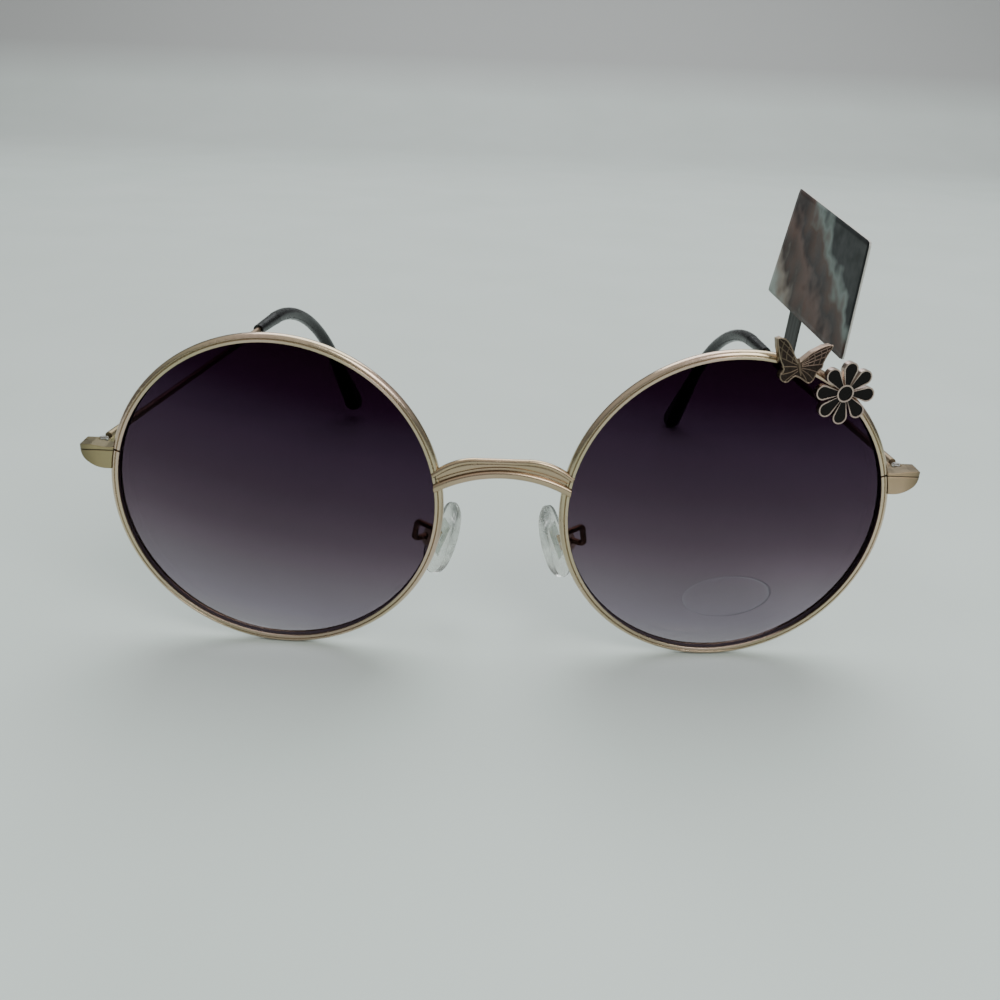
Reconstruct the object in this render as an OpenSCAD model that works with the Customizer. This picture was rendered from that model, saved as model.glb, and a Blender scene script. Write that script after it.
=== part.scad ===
// Round wire-frame sunglasses that stand open on a table.
// X runs to the right as seen from the front, Y to the back and Z up.
// Left and right are as seen from the front. Lengths are in millimetres, angles in degrees.
// The origin lies on the table under the middle of the overall box.

/* [Lenses] */
// Lens diameter over the tip of its bevel
lens_w = 52; // [46:0.5:58]
// Lens thickness
lens_t = 1.8; // [1.4:0.1:2.4]
// Radius of the lens's front surface
lens_curve_r = 87.5; // [70:0.5:140]
// Height of the bevel that sits in the rim's groove
bevel_h = 0.5; // [0.35:0.05:0.6]
// Angle by which each rim turns back at its outer side
face_wrap = 3.5; // [0:0.5:7]

/* [Rims] */
// Metal of the rim outside the lens edge
rim_wall = 0.85; // [0.75:0.05:1.3]
// Rim depth from front to back
rim_depth = 1.8; // [1.7:0.1:2.4]
// Opening between the two ends of the split rim
rim_split = 0.3; // [0.1:0.05:0.6]

/* [Bridge] */
// Distance between the two lenses
bridge_w = 20; // [17:0.5:24]
// Height of the arch's top above the rim centres
bridge_rise = 8.6; // [5:0.1:12]
// Slope of the upper rib's two ends
bridge_slope = 34; // [24:1:40]
// Radius of the upper rib's two shoulders
bridge_shoulder_r = 10; // [6:0.5:11]
// Radius of the lower band's bottom edge
bridge_low_r = 21.5; // [19:0.1:36]
// Height of the bridge in its middle
bridge_h = 3.15; // [2.9:0.05:3.8]
// Depth of the bridge's lower band
bridge_depth = 1.7; // [1.5:0.1:2.2]

/* [Nose pads] */
// Distance between the middles of the two pads
pad_spacing = 19; // [17:0.2:20]
// Depth of the pad middles under the rim centres
pad_drop = 10.3; // [9:0.1:12]
// Distance of the pads behind the rims' middle plane
pad_back = 8; // [7:0.25:10]
// Pad length
pad_l = 13.4; // [11:0.2:16]
// Pad width at its wide end
pad_w = 7.6; // [6.4:0.2:9]
// Pad thickness at its crown
pad_t = 1.8; // [1.5:0.1:2.4]
// Lean of the pad's top towards the other pad
pad_tilt = 20.5; // [10:0.5:30]
// Turn of the pad's back edge away from the other pad
pad_splay = 25; // [15:1:35]
// Diameter of the pad arm wire
pad_arm_d = 1; // [0.8:0.1:1.2]

/* [Closing blocks and hinges] */
// Height of the hinge middle above the rim centres
hinge_rise = 5.3; // [3:0.1:8]
// Distance of the hinge pin outside the rim's outer edge
hinge_out = 2; // [1.9:0.05:3]
// Distance of the hinge pin behind the rim's outer edge
hinge_back = 3.6; // [3.5:0.1:5]
// Reach of the closing block past the hinge pin
lug_reach = 2.3; // [2.2:0.1:2.8]
// Height of the closing block's lower half
lug_low_h = 3.1; // [2.8:0.1:3.6]
// Height of the closing block's upper half
lug_top_h = 0.9; // [0.8:0.1:1.4]
// Thickness of the closing block from front to back
lug_t = 2.5; // [2.2:0.1:2.7]
// Height of each hinge knuckle
knuckle_h = 0.9; // [0.8:0.1:1.1]
// Outer diameter of the hinge knuckles
knuckle_d = 2.2; // [2:0.1:2.4]
// Diameter of the hinge screw's shank
pin_d = 1; // [0.8:0.05:1.1]

/* [Temples] */
// Length of the temple from the hinge pin to the corner of its bend
temple_l = 94.8; // [92:0.2:100]
// Length of the tip from the bend's corner to the middle of its round end
tip_l = 37.2; // [35:0.1:44]
// Diameter of the temple wire
wire_d = 1.2; // [1:0.1:1.5]
// Height of the wire above the hinge middle
wire_rise = 1.45; // [1.3:0.05:2]
// Angle of the bend over the ear
bend_angle = 63.4; // [50:0.1:66]
// Radius of the bend's centre line
bend_r = 33.9; // [20:0.1:38]
// Lean of the tips towards each other
tip_lean = 9.7; // [0:0.1:11]
// Angle by which the left temple stands inwards as it rests
splay_left = 10.2; // [3:0.1:11]
// Angle by which the right temple stands inwards as it rests
splay_right = 5.3; // [3:0.1:11]
// Height by which the left tip stands clear of the table; a wire frame rests on one tip
rest_lift = 2.2; // [0:0.1:4]

/* [Temple tips] */
// Distance from the hinge pin to the start of the tip sleeve
sleeve_start = 64.5; // [58:0.5:68]
// Diameter of the sleeve at its start
sleeve_d = 2.3; // [2:0.1:2.6]
// Diameter of the sleeve round the bend
bend_d = 2.8; // [2.7:0.1:3.5]
// Diameter of the sleeve's round end
tip_d = 5; // [4:0.1:5.4]
// Thickness of the flattened end of the sleeve
tip_flat = 3.6; // [3:0.1:4]

/* [Charms] */
// Flower diameter over the petals
flower_d = 9.9; // [8:0.1:11]
// Number of petals
petals = 8; // [6:1:9]
// Place of the flower round the rim, from the outer side upwards
flower_at = 53; // [50:0.5:58]
// Place of the butterfly round the rim, from the outer side upwards
butterfly_at = 73; // [72.5:0.5:80]
// Size of the butterfly against its drawing
butterfly_scale = 1; // [0.8:0.05:1]
// Thickness of the cast charms
charm_t = 1; // [0.8:0.1:1.4]
// Depth of the cells that hold the enamel
enamel_depth = 0.35; // [0.2:0.05:0.5]
// Width of the raised metal lines round the enamel
cell_wall = 0.24; // [0.2:0.02:0.4]
// Tilt of the charms, which lean on the curve of the lens
charm_lean = 9; // [0:0.5:12]

/* [Sticker] */
// Width of the oval sticker on the right lens
sticker_w = 14.8; // [10:0.2:18]
// Height of the oval sticker
sticker_h = 8.2; // [6:0.2:11]
// Thickness of the sticker film
sticker_t = 0.12; // [0.1:0.01:0.3]

/* [Hang tag] */
// Card length along the temple
card_w = 39.8; // [28:0.2:44]
// Card height
card_h = 22.3; // [16:0.1:26]
// Card thickness
card_t = 0.45; // [0.3:0.05:0.8]
// Distance of the strap from the hinge pin
strap_at = 53.6; // [40:0.2:56]
// Width of the strap
strap_w = 6; // [2.5:0.1:7]
// Thickness of the strap
strap_t = 0.45; // [0.35:0.05:0.7]
// Height of the card's bottom edge over the temple wire
card_gap = 11.1; // [9:0.1:15]
// Distance of the card's middle behind the strap
card_shift = -4.9; // [-6:0.1:6]
// Outward lean of the card
card_lean = 3.8; // [0:0.1:8]
// Tilt of the card in its own plane, towards the front
card_tilt = 5.6; // [0:0.1:8]

/* [Hidden] */
$fn = 64;

gold = [0.86, 0.78, 0.62];
steel = [0.75, 0.74, 0.72];
smoke = [0.2, 0.14, 0.24, 0.85];
clear_film = [0.85, 0.87, 0.87, 0.4];
gloss_black = [0.03, 0.03, 0.035];
tag_grey = [0.42, 0.4, 0.4];
strap_grey = [0.22, 0.24, 0.23];

// Clearance between pieces that are fixed to each other
seat = 0.02;
// Radial clearance of pins and loops that turn
running = 0.05;
// Gap between pieces that slide past each other
gap = 0.1;
// Length by which a cutting shape runs past what it cuts
past = 1;
// How much thicker a bend is than the straight legs that end inside it
bend_proud = 0.03;

// Rims and lenses
lens_r = lens_w / 2;
rim_out_r = lens_r + rim_wall;
rim_in_r = lens_r - bevel_h;
bead_r = rim_depth / 2;
bead_at = rim_out_r - bead_r;
rim_x = bridge_w / 2 + lens_r;
rim_z = rim_out_r;
// Height of the lens's front surface at its edge over the rim's middle plane
lens_edge_front = 0.55;
lens_centre = lens_edge_front - sqrt(pow(lens_curve_r, 2) - pow(rim_in_r, 2));
lens_front = lens_centre + lens_curve_r;
front_reach = lens_curve_r + lens_centre * cos(face_wrap);
// Place, depth and width of the fine line turned into the rim's front
line_at = bead_at + 0.12;
line_depth = 0.2;
line_w = 0.3;

// Hinge pin
hinge_x = rim_x + rim_out_r * cos(face_wrap) + hinge_out;
hinge_y = rim_out_r * sin(face_wrap) + hinge_back;
hinge_z = rim_z + hinge_rise;
hinge = [hinge_x, hinge_y, hinge_z];
pin_r = pin_d / 2;
knuckle_r = knuckle_d / 2;
hinge_h = 3 * knuckle_h;
pin_head_r = 0.85;
pin_head_h = 0.35;

// Closing block
lug_front = rim_out_r * sin(face_wrap) - bead_r;
lug_back = lug_front + lug_t;
lug_end = hinge_x + lug_reach;
lug_corner_r = 0.9;
lug_top_corner_r = 0.35;
lug_top_end = lug_end - 0.1;
// The upper half slopes down to a low root at the rim
lug_slope_start = hinge_x + 0.4;
lug_slope_end = hinge_x - hinge_out + 0.1;
lug_root_h = 0.45;
// Radius of the lower half's round underside, and the middle of that round
lug_round_r = 1.35 * lug_low_h;
lug_round_x = lug_end - sqrt(pow(lug_round_r, 2) - pow(lug_round_r - lug_low_h, 2));
// The split between the two halves lies level with the top of the hinge
split_z = hinge_z + hinge_h / 2 + 0.05;
split_gap = 0.15;
butt_y = hinge_y - knuckle_r;
rim_screw_r = 0.5;
rim_screw_head_r = 0.8;
rim_screw_head_h = 0.45;
rim_screw_x = hinge_x - hinge_out / 2;
rim_screw_y = (lug_front + lug_back) / 2;
rim_screw_low = split_z - lug_low_h + 0.15;
rim_screw_top = split_z + lug_root_h;

// Temple
wire_r = wire_d / 2;
tip_r = tip_d / 2;
bend_sleeve_r = bend_d / 2;
setback = bend_r * tan(bend_angle / 2);
reach_along = temple_l + tip_l * cos(bend_angle);
reach_down = tip_l * cos(tip_lean) * sin(bend_angle);
leaf_w = wire_d;
leaf_start = knuckle_r + gap;
leaf_end = 4.2;
leaf_low = -0.95;
wire_start = 1.7;
heel_in = knuckle_r + gap;
heel_out = heel_in + 0.6;
heel_end = 2.8;
heel_h = 2 * knuckle_h;
core_end = 6;

// Slope of a temple along its length that brings its tip to a height over the table
function slope_for(lift) =
  asin((tip_r + lift - hinge_z - wire_rise) / norm([reach_along, reach_down])) + atan2(reach_down, reach_along);

// Distance of a tip's far edge behind the rims' middle plane
function tip_reach(splay, slope) =
  hinge_y + tip_r - sin(splay) * tip_l * sin(bend_angle) * sin(tip_lean)
  + cos(splay) * (reach_along * cos(slope) + reach_down * sin(slope));

// How the temples stand as they rest: the angle inwards and the slope along the length
pose_left = [splay_left, slope_for(rest_lift)];
pose_right = [splay_right, slope_for(0)];
far_y = max(tip_reach(pose_left[0], pose_left[1]), tip_reach(pose_right[0], pose_right[1]));
middle_y = (far_y - front_reach) / 2;

// Nose pads
pad_x = pad_spacing / 2;
pad_z = rim_z - pad_drop;
pad_small_r = 0.34 * pad_w;
pad_big_r = pad_w / 2;
pad_span = pad_l - pad_big_r - pad_small_r;
pad_low = -(pad_l / 2 - pad_big_r);
pad_flat = 0.75;
pad_crown_r = 21;
insert_in = 0.1;
insert_t = 0.3;
insert_w = 3;
insert_h = 6;
tab_t = 0.9;
tab_r = 0.75;
pad_pin_at = 2.35;
pad_pin_r = 0.35;
pad_pin_head_r = 0.6;
pad_pin_head_h = 0.35;
box_start = 1.3;
box_wall = 0.4;
box_end = pad_pin_at + tab_r + gap + box_wall;
box_half_w = tab_t / 2 + gap + box_wall;
box_half_h = 1.45;
arm_r = pad_arm_d / 2;
arm_bend_r = 1.2;
// Place of the arm's root round the rim, under the level of the rim's centre, and clear of the lens
arm_root_angle = 192;
arm_root_r = bead_at + 0.15;
arm_root = [
  rim_x + arm_root_r * cos(arm_root_angle) * cos(face_wrap),
  arm_root_r * cos(arm_root_angle) * sin(face_wrap),
  rim_z + arm_root_r * sin(arm_root_angle)
];
// The arm runs straight back past the lens, then out to its high and low bends
arm_straight = 2.5;
arm_out = 3.2;
arm_run = 4.9;
arm_clear = arm_root + [0, arm_straight, 0];
arm_high = arm_root + [arm_out, arm_run, 0.3];
pad_outward = [cos(pad_splay) * cos(pad_tilt), -sin(pad_splay), cos(pad_splay) * sin(pad_tilt)];
box_back = [pad_x, pad_back, pad_z] + pad_outward * (box_end - box_wall / 2);
arm_low = box_back + [2.1, -1.1, -0.4];

// Bridge
bridge_top_z = rim_z + bridge_rise;
low_arch_z = bridge_top_z - bridge_h - bridge_low_r;
bridge_proud = 0.5;
bridge_y = -rim_out_r * sin(face_wrap) - bridge_proud;
rib_r = 0.5;
band_r = 0.5;
band_h = 1.3;
web_t = 0.4;
// The rib's path, from the left rim over its two shoulders to the right rim
bridge_end = rim_x - rim_in_r + 0.6;
bridge_shoulder = 0.64 * bridge_end;
rib_top = bridge_top_z - rib_r;
rib_path = [
  [-bridge_end, bridge_y, rib_top - (bridge_end - bridge_shoulder) * tan(bridge_slope)],
  [-bridge_shoulder, bridge_y, rib_top],
  [bridge_shoulder, bridge_y, rib_top],
  [bridge_end, bridge_y, rib_top - (bridge_end - bridge_shoulder) * tan(bridge_slope)]
];
band_lap = 4;
band_half = asin((rim_x - rim_in_r) / bridge_low_r) + band_lap;

// Charms
charm_seat = bead_r + seat;
charm_r = bead_at;
petal_tip_r = 0.24 * flower_d / 2;
petal_root_r = 0.25;
petal_from = 0.9;
petal_len = flower_d / 2 - petal_tip_r - petal_from;
flower_eye_r = 1.15;
flower_turn = -4;
enamel_t = enamel_depth - 0.1;

// Sticker
sticker_x = 1.5;
sticker_z = -14;
sticker_tilt = 3.7;
film_points = 48;

// Hang tag
loop_r = wire_r + running;
loop_out_r = loop_r + strap_t;
strap_lap = 5;
card_corner_r = 0.6;

// Butterfly outlines in the rim's plane, from the middle of its body
wings = [
  [0.2, 0.9], [1.8, 2.2], [3.6, 3.1], [4.8, 3.3], [5.2, 3], [4.6, 1.8], [4.1, 0.6], [4, -0.2],
  [3.2, -1.1], [2.9, -2.1], [2.4, -2.6], [1.8, -2.6], [0.7, -1.9], [-0.3, -1.5], [-0.9, -1.9],
  [-1.5, -2.4], [-2.2, -2.3], [-2.8, -1.8], [-2.9, -1.1], [-2.5, -0.3], [-3.3, 1.3], [-3.9, 3],
  [-4.2, 4.4], [-3.5, 4.6], [-2.4, 4.1], [-1.3, 2.6], [-0.4, 1]
];
// Veins that part the wings into cells, and the body between the wings
veins = [
  [[0.3, 0.3], [4.2, 3.5]], [[0.3, 0.2], [5, 2.1]], [[0.3, 0.1], [4.4, 0.3]],
  [[0.3, -0.1], [3.6, -0.9]], [[0.4, -0.5], [2.7, -2.8]],
  [[-0.1, 0.7], [-3.9, 4.9]], [[-0.1, 0.4], [-3.9, 2.4]],
  [[0, 0], [-2.9, -0.2]], [[0.2, -0.5], [-2.7, -2]]
];
vein_w = 0.17;
body_low = [0.55, -1.3];
body_high = [-0.25, 1.3];
body_w = 0.42;

// Unit vector along v
function unit(v) = v / norm(v);

// A straight round bar from one point to another
module rod(from, to, r) {
  along = to - from;
  translate(from)
    rotate([0, acos(along[2] / norm(along)), atan2(along[1], along[0])])
      cylinder(h = norm(along), r = r);
}

// A round elbow at the corner between two straight legs
module elbow(before, corner, after, r, curve_r) {
  d1 = unit(corner - before);
  d2 = unit(after - corner);
  angle = acos(d1 * d2);
  inward = unit(d2 - d1 * (d1 * d2));
  centre = corner - d1 * curve_r * tan(angle / 2) + inward * curve_r;
  x = -inward;
  z = cross(x, d1);
  upright = norm([x[0], x[1]]) < 0.0001;
  turns = upright
    ? [0, -90 * sign(x[2]), atan2(-d1[0], d1[1])]
    : [atan2(d1[2], z[2]), -asin(x[2]), atan2(x[1], x[0])];
  translate(centre)
    rotate(turns)
      rotate_extrude(angle = angle)
        translate([curve_r, 0])
          circle(r = r);
}

// A wire that follows a path, with a round bend at each inner point
// The bends are a hair thicker than the legs, which end just inside them.
module bent_wire(path, r, curve_r) {
  last = len(path) - 1;
  trims = [
    for (i = [0 : last])
      i == 0 || i == last
        ? 0
        : curve_r * tan(acos(unit(path[i] - path[i - 1]) * unit(path[i + 1] - path[i])) / 2)
  ];
  for (i = [0 : last - 1]) {
    dir = unit(path[i + 1] - path[i]);
    from = path[i] + dir * trims[i];
    to = path[i + 1] - dir * trims[i + 1];
    rod(from - dir * (i == 0 ? 0 : seat), to + dir * (i + 1 == last ? 0 : seat), r);
  }
  for (i = [1 : last - 1])
    elbow(path[i - 1], path[i], path[i + 1], r + bend_proud, curve_r);
}

// A flat drop: two circles and the straight flanks that touch both
module drop(r1, r2, span) {
  lean = asin((r1 - r2) / span);
  circle(r = r1);
  translate([0, span])
    circle(r = r2);
  polygon([
    [-r1 * cos(lean), r1 * sin(lean)],
    [r1 * cos(lean), r1 * sin(lean)],
    [r2 * cos(lean), span + r2 * sin(lean)],
    [-r2 * cos(lean), span + r2 * sin(lean)]
  ]);
}

// Shifts the model so that the origin lies under the middle of its box
module centred() {
  translate([0, -middle_y, 0])
    children();
}

// Draws a right-hand piece on the side asked for
module on_side(side) {
  centred()
    if (side < 0)
      mirror([1, 0, 0])
        children();
    else
      children();
}

// The right rim's own frame: X and Y in its plane, Z towards the front
module in_rim() {
  translate([rim_x, 0, rim_z])
    rotate([0, 0, face_wrap])
      rotate([90, 0, 0])
        children();
}

// Outline of the rim's section, with its radius along X
module rim_section() {
  difference() {
    union() {
      translate([bead_at, 0])
        circle(r = bead_r);
      translate([rim_in_r, -bead_r])
        square([bead_at - rim_in_r, rim_depth]);
    }
    translate([rim_in_r - past, -rim_depth])
      square([past, 2 * rim_depth]);
    polygon([
      [rim_in_r - seat, -bevel_h - seat],
      [lens_r + seat, 0],
      [rim_in_r - seat, bevel_h + seat]
    ]);
    polygon([
      [line_at - line_w / 2, bead_r + seat],
      [line_at, bead_r - line_depth],
      [line_at + line_w / 2, bead_r + seat]
    ]);
  }
}

// The space that the right rim takes up, with the clearance of a brazed seat
module rim_room() {
  in_rim()
    rotate_extrude() {
      translate([bead_at, 0])
        circle(r = bead_r + seat);
      translate([rim_in_r, -bead_r - seat])
        square([bead_at - rim_in_r, rim_depth + 2 * seat]);
    }
}

// The round opening of the right rim, from front to back
module lens_room() {
  in_rim()
    translate([0, 0, -rim_depth * 2])
      cylinder(h = rim_depth * 5, r = rim_in_r);
}

module rim(side) {
  split_at = asin((split_z - rim_z) / bead_at);
  split_angle = rim_split / bead_at * 180 / PI;
  color(gold)
    on_side(side)
      in_rim()
        rotate([0, 0, split_at + split_angle / 2])
          rotate_extrude(angle = 360 - split_angle)
            rim_section();
}

module lens(side) {
  color(smoke)
    on_side(side)
      in_rim() {
        difference() {
          intersection() {
            translate([0, 0, lens_centre])
              sphere(r = lens_curve_r, $fn = 180);
            translate([0, 0, -lens_t * 2])
              cylinder(h = lens_front + lens_t * 3, r = rim_in_r - 2 * seat);
          }
          translate([0, 0, lens_centre])
            sphere(r = lens_curve_r - lens_t, $fn = 180);
        }
        rotate_extrude()
          polygon([
            [rim_in_r - 1.2, bevel_h - 3 * seat],
            [rim_in_r - 2 * seat, bevel_h - 3 * seat],
            [lens_r - 2 * seat, 0],
            [rim_in_r - 2 * seat, -bevel_h + 3 * seat],
            [rim_in_r - 1.2, -bevel_h + 3 * seat]
          ]);
      }
}

// Section of the bridge's lower band, with round edges in front and behind
module band_section() {
  for (x = [band_r, band_h - band_r], y = [band_r - bridge_depth / 2, bridge_depth / 2 - band_r])
    translate([bridge_low_r + x, y])
      circle(r = band_r);
  translate([bridge_low_r + band_r, -bridge_depth / 2])
    square([band_h - 2 * band_r, bridge_depth]);
  translate([bridge_low_r, band_r - bridge_depth / 2])
    square([band_h, bridge_depth - 2 * band_r]);
}

// The lower band, on an arch of its own radius
module bridge_band() {
  translate([0, bridge_y, low_arch_z])
    rotate([90, 0, 0])
      rotate([0, 0, 90 - band_half])
        rotate_extrude(angle = 2 * band_half)
          band_section();
}

// The thin web between the upper rib and the lower band
module bridge_web() {
  translate([0, bridge_y + web_t / 2, 0])
    rotate([90, 0, 0])
      linear_extrude(web_t)
        difference() {
          polygon([
            for (point = rib_path) [point[0], point[2]],
            [bridge_end, rim_z],
            [-bridge_end, rim_z]
          ]);
          translate([0, low_arch_z])
            circle(r = bridge_low_r + band_h / 2, $fn = 128);
        }
}

// The fine upper rib rises from the rims to two shoulders, and the band runs into it at the rims
module bridge() {
  color(gold)
    centred()
      difference() {
        union() {
          bent_wire(rib_path, rib_r, bridge_shoulder_r);
          bridge_web();
          bridge_band();
        }
        for (side = [0, 1])
          mirror([side, 0, 0]) {
            rim_room();
            lens_room();
          }
      }
}

// An outline drawn seen from the front, with its Y axis up, run from the block's front to the hinge
module from_front() {
  translate([0, butt_y, 0])
    rotate([90, 0, 0])
      linear_extrude(butt_y - lug_front)
        children();
}

// The upper half's outline: a low plate that slopes down to the rim, with a round outer corner
module upper_half_outline() {
  low = split_z + split_gap / 2;
  top = split_z + lug_top_h;
  polygon([
    [rim_x, low],
    [lug_top_end, low],
    [lug_top_end, top - lug_top_corner_r],
    [lug_top_end - lug_top_corner_r, top],
    [lug_slope_start, top],
    [lug_slope_end, low + lug_root_h],
    [rim_x, low + lug_root_h]
  ]);
  translate([lug_top_end - lug_top_corner_r, top - lug_top_corner_r])
    circle(r = lug_top_corner_r);
}

// The lower half's outline: a nose with a round underside
module lower_half_outline() {
  low = split_z - lug_low_h;
  height = lug_low_h - split_gap / 2;
  translate([rim_x, low])
    square([lug_round_x - rim_x, height]);
  intersection() {
    translate([lug_round_x, low + lug_round_r])
      circle(r = lug_round_r);
    translate([rim_x, low])
      square([lug_end - rim_x, height]);
  }
}

// The front plate of the block seen from above, with a round corner
module plate_room() {
  translate([0, 0, hinge_z - rim_out_r / 2])
    linear_extrude(rim_out_r) {
      translate([rim_x, lug_front])
        square([lug_end - lug_corner_r - rim_x, lug_t]);
      intersection() {
        translate([lug_end - lug_corner_r, lug_front + lug_corner_r])
          circle(r = lug_corner_r);
        translate([rim_x, lug_front])
          square([lug_end - rim_x, lug_t]);
      }
    }
}

// What the block leaves free: the rim, the lens opening and the rim screw
module lug_cuts() {
  rim_room();
  in_rim()
    translate([0, 0, -hinge_y])
      cylinder(h = 2 * hinge_y, r = rim_out_r - 0.3);
  translate([rim_screw_x, rim_screw_y, rim_screw_low - past])
    cylinder(h = rim_screw_top - rim_screw_low + past + seat, r = rim_screw_r + seat);
  translate([rim_screw_x, rim_screw_y, rim_screw_low - past])
    cylinder(h = rim_screw_head_h + past + seat, r = rim_screw_head_r + seat);
}

module end_piece(side) {
  color(gold)
    on_side(side)
      difference() {
        union() {
          intersection() {
            from_front()
              upper_half_outline();
            union() {
              plate_room();
              translate([hinge_x, lug_back - past / 2, split_z])
                cube([lug_reach, butt_y - lug_back + past, lug_top_h + past]);
            }
          }
          translate([hinge_x, lug_back + gap, hinge_z - hinge_h / 2 - gap / 2])
            cube([lug_reach, butt_y - lug_back - gap, hinge_h + gap]);
          for (level = [-1, 1])
            translate([hinge_x, hinge_y, hinge_z + level * (knuckle_h + gap / 2) - knuckle_h / 2]) {
              cylinder(h = knuckle_h, r = knuckle_r);
              translate([0, butt_y - hinge_y - gap, 0])
                cube([knuckle_r, hinge_y - butt_y + gap, knuckle_h]);
            }
        }
        lug_cuts();
        translate([hinge_x, hinge_y, hinge_z - hinge_h])
          cylinder(h = 2 * hinge_h, r = pin_r + seat);
      }
}

module closing_block(side) {
  color(gold)
    on_side(side)
      difference() {
        intersection() {
          from_front()
            lower_half_outline();
          plate_room();
        }
        lug_cuts();
      }
}

module rim_screw(side) {
  color(steel)
    on_side(side)
      translate([rim_screw_x, rim_screw_y, rim_screw_low])
        difference() {
          union() {
            cylinder(h = rim_screw_top - rim_screw_low, r = rim_screw_r);
            cylinder(h = rim_screw_head_h, r = rim_screw_head_r);
          }
          translate([-rim_screw_head_r, -0.12, -0.05])
            cube([2 * rim_screw_head_r, 0.24, 0.25]);
        }
}

module hinge_screw(side) {
  color(steel)
    on_side(side)
      translate([hinge_x, hinge_y, hinge_z - hinge_h / 2 - gap / 2])
        difference() {
          union() {
            cylinder(h = hinge_h + gap + pin_head_h / 2, r = pin_r);
            translate([0, 0, hinge_h + gap + seat])
              cylinder(h = pin_head_h, r = pin_head_r);
          }
          translate([-pin_head_r, -0.13, hinge_h + gap + pin_head_h - 0.2])
            cube([2 * pin_head_r, 0.26, 0.5]);
        }
}

// The temple's own frame at the hinge pin: Y along the temple, X outwards
module at_hinge(pose) {
  translate(hinge)
    rotate([0, 0, pose[0]])
      children();
}

// The wire's frame over the hinge, sloped along the temple
module along_wire(pose) {
  at_hinge(pose)
    translate([0, 0, wire_rise])
      rotate([pose[1], 0, 0])
        children();
}

// The same frame, rolled with the leaning tip
module along_temple(pose) {
  along_wire(pose)
    rotate([0, tip_lean, 0])
      children();
}

module temple_hinge(side, pose) {
  color(gold)
    on_side(side)
      difference() {
        at_hinge(pose) {
          translate([0, 0, -knuckle_h / 2])
            cylinder(h = knuckle_h, r = knuckle_r);
          translate([-leaf_w / 2, 0, -knuckle_h / 2])
            cube([leaf_w, leaf_start + past, knuckle_h]);
          translate([-leaf_w / 2, leaf_start, leaf_low])
            cube([leaf_w, leaf_end - leaf_start, wire_rise - leaf_low]);
          translate([0, leaf_start, -heel_h / 2])
            cube([heel_out, heel_end - leaf_start, heel_h]);
          translate([heel_in, butt_y - hinge_y + gap, -heel_h / 2])
            cube([heel_out - heel_in, heel_end - butt_y + hinge_y - gap, heel_h]);
        }
        translate([hinge_x, hinge_y, hinge_z - hinge_h])
          cylinder(h = 2 * hinge_h, r = pin_r + running);
        along_temple(pose)
          rod([0, wire_start - past, 0], [0, leaf_end + past, 0], wire_r + seat);
      }
}

// The bend's far point at a distance along the tip
function tip_point(distance) = [
  0,
  temple_l + distance * cos(bend_angle),
  -distance * sin(bend_angle)
];

// The temple wire's route, with room round it where it is cut out of the sleeve
module core_wire(from, room) {
  bent_wire([[0, from, 0], [0, temple_l, 0], tip_point(tip_l - core_end + room)], wire_r + room, bend_r);
}

module temple_wire(side, pose) {
  color(gold)
    on_side(side)
      along_temple(pose)
        core_wire(wire_start, 0);
}

module tip_sleeve(side, pose) {
  color(gloss_black)
    on_side(side)
      along_temple(pose)
        difference() {
          union() {
            translate([0, sleeve_start, 0])
              rotate([-90, 0, 0])
                cylinder(h = temple_l - setback - sleeve_start + seat, r1 = sleeve_d / 2, r2 = bend_sleeve_r);
            elbow([0, 0, 0], [0, temple_l, 0], tip_point(tip_l), bend_sleeve_r + bend_proud, bend_r);
            intersection() {
              union() {
                translate(tip_point(setback - seat))
                  rotate([-90 - bend_angle, 0, 0])
                    cylinder(h = tip_l - setback + seat, r1 = bend_sleeve_r, r2 = tip_r - bend_proud);
                translate(tip_point(tip_l))
                  sphere(r = tip_r);
              }
              translate([-tip_flat / 2, 0, -2 * tip_l])
                cube([tip_flat, 2 * temple_l, 3 * tip_l]);
            }
          }
          core_wire(sleeve_start - past, seat);
        }
}

// The right pad's own frame: X outwards through the box, Y across the pad, Z along it
module at_pad() {
  translate([pad_x, pad_back, pad_z])
    rotate([0, -pad_tilt, 0])
      rotate([0, 0, -pad_splay])
        children();
}

// The plate and tab inside the pad, with room round them
module insert_shape(room) {
  translate([insert_in - room, -insert_w / 2 - room, -insert_h / 2 - room])
    cube([insert_t + 2 * room, insert_w + 2 * room, insert_h + 2 * room]);
  translate([insert_in, -tab_t / 2 - room, -tab_r - room])
    cube([pad_pin_at - insert_in, tab_t + 2 * room, 2 * tab_r + 2 * room]);
}

module nose_pad(side) {
  color(clear_film)
    on_side(side)
      at_pad()
        difference() {
          intersection() {
            translate([pad_flat, 0, pad_low])
              rotate([90, 0, -90])
                linear_extrude(pad_t)
                  drop(pad_big_r, pad_small_r, pad_span, $fn = 96);
            translate([pad_flat - pad_t + pad_crown_r, 0, 0])
              sphere(r = pad_crown_r, $fn = 240);
          }
          insert_shape(seat);
        }
}

module pad_insert(side) {
  color(steel)
    on_side(side)
      at_pad()
        difference() {
          union() {
            insert_shape(0);
            rod([pad_pin_at, -tab_t / 2, 0], [pad_pin_at, tab_t / 2, 0], tab_r);
          }
          rod([pad_pin_at, -tab_t, 0], [pad_pin_at, tab_t, 0], pad_pin_r + running);
        }
}

module pad_box(side) {
  color(gold)
    on_side(side)
      at_pad()
        difference() {
          translate([box_start, -box_half_w, -box_half_h])
            cube([box_end - box_start, 2 * box_half_w, 2 * box_half_h]);
          translate([box_start - past, -tab_t / 2 - gap, -box_half_h - past])
            cube([box_end - box_wall - box_start + past, tab_t + 2 * gap, 2 * box_half_h + 2 * past]);
          rod([pad_pin_at, -box_half_w - past, 0], [pad_pin_at, box_half_w + past, 0], pad_pin_r + seat);
        }
}

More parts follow.
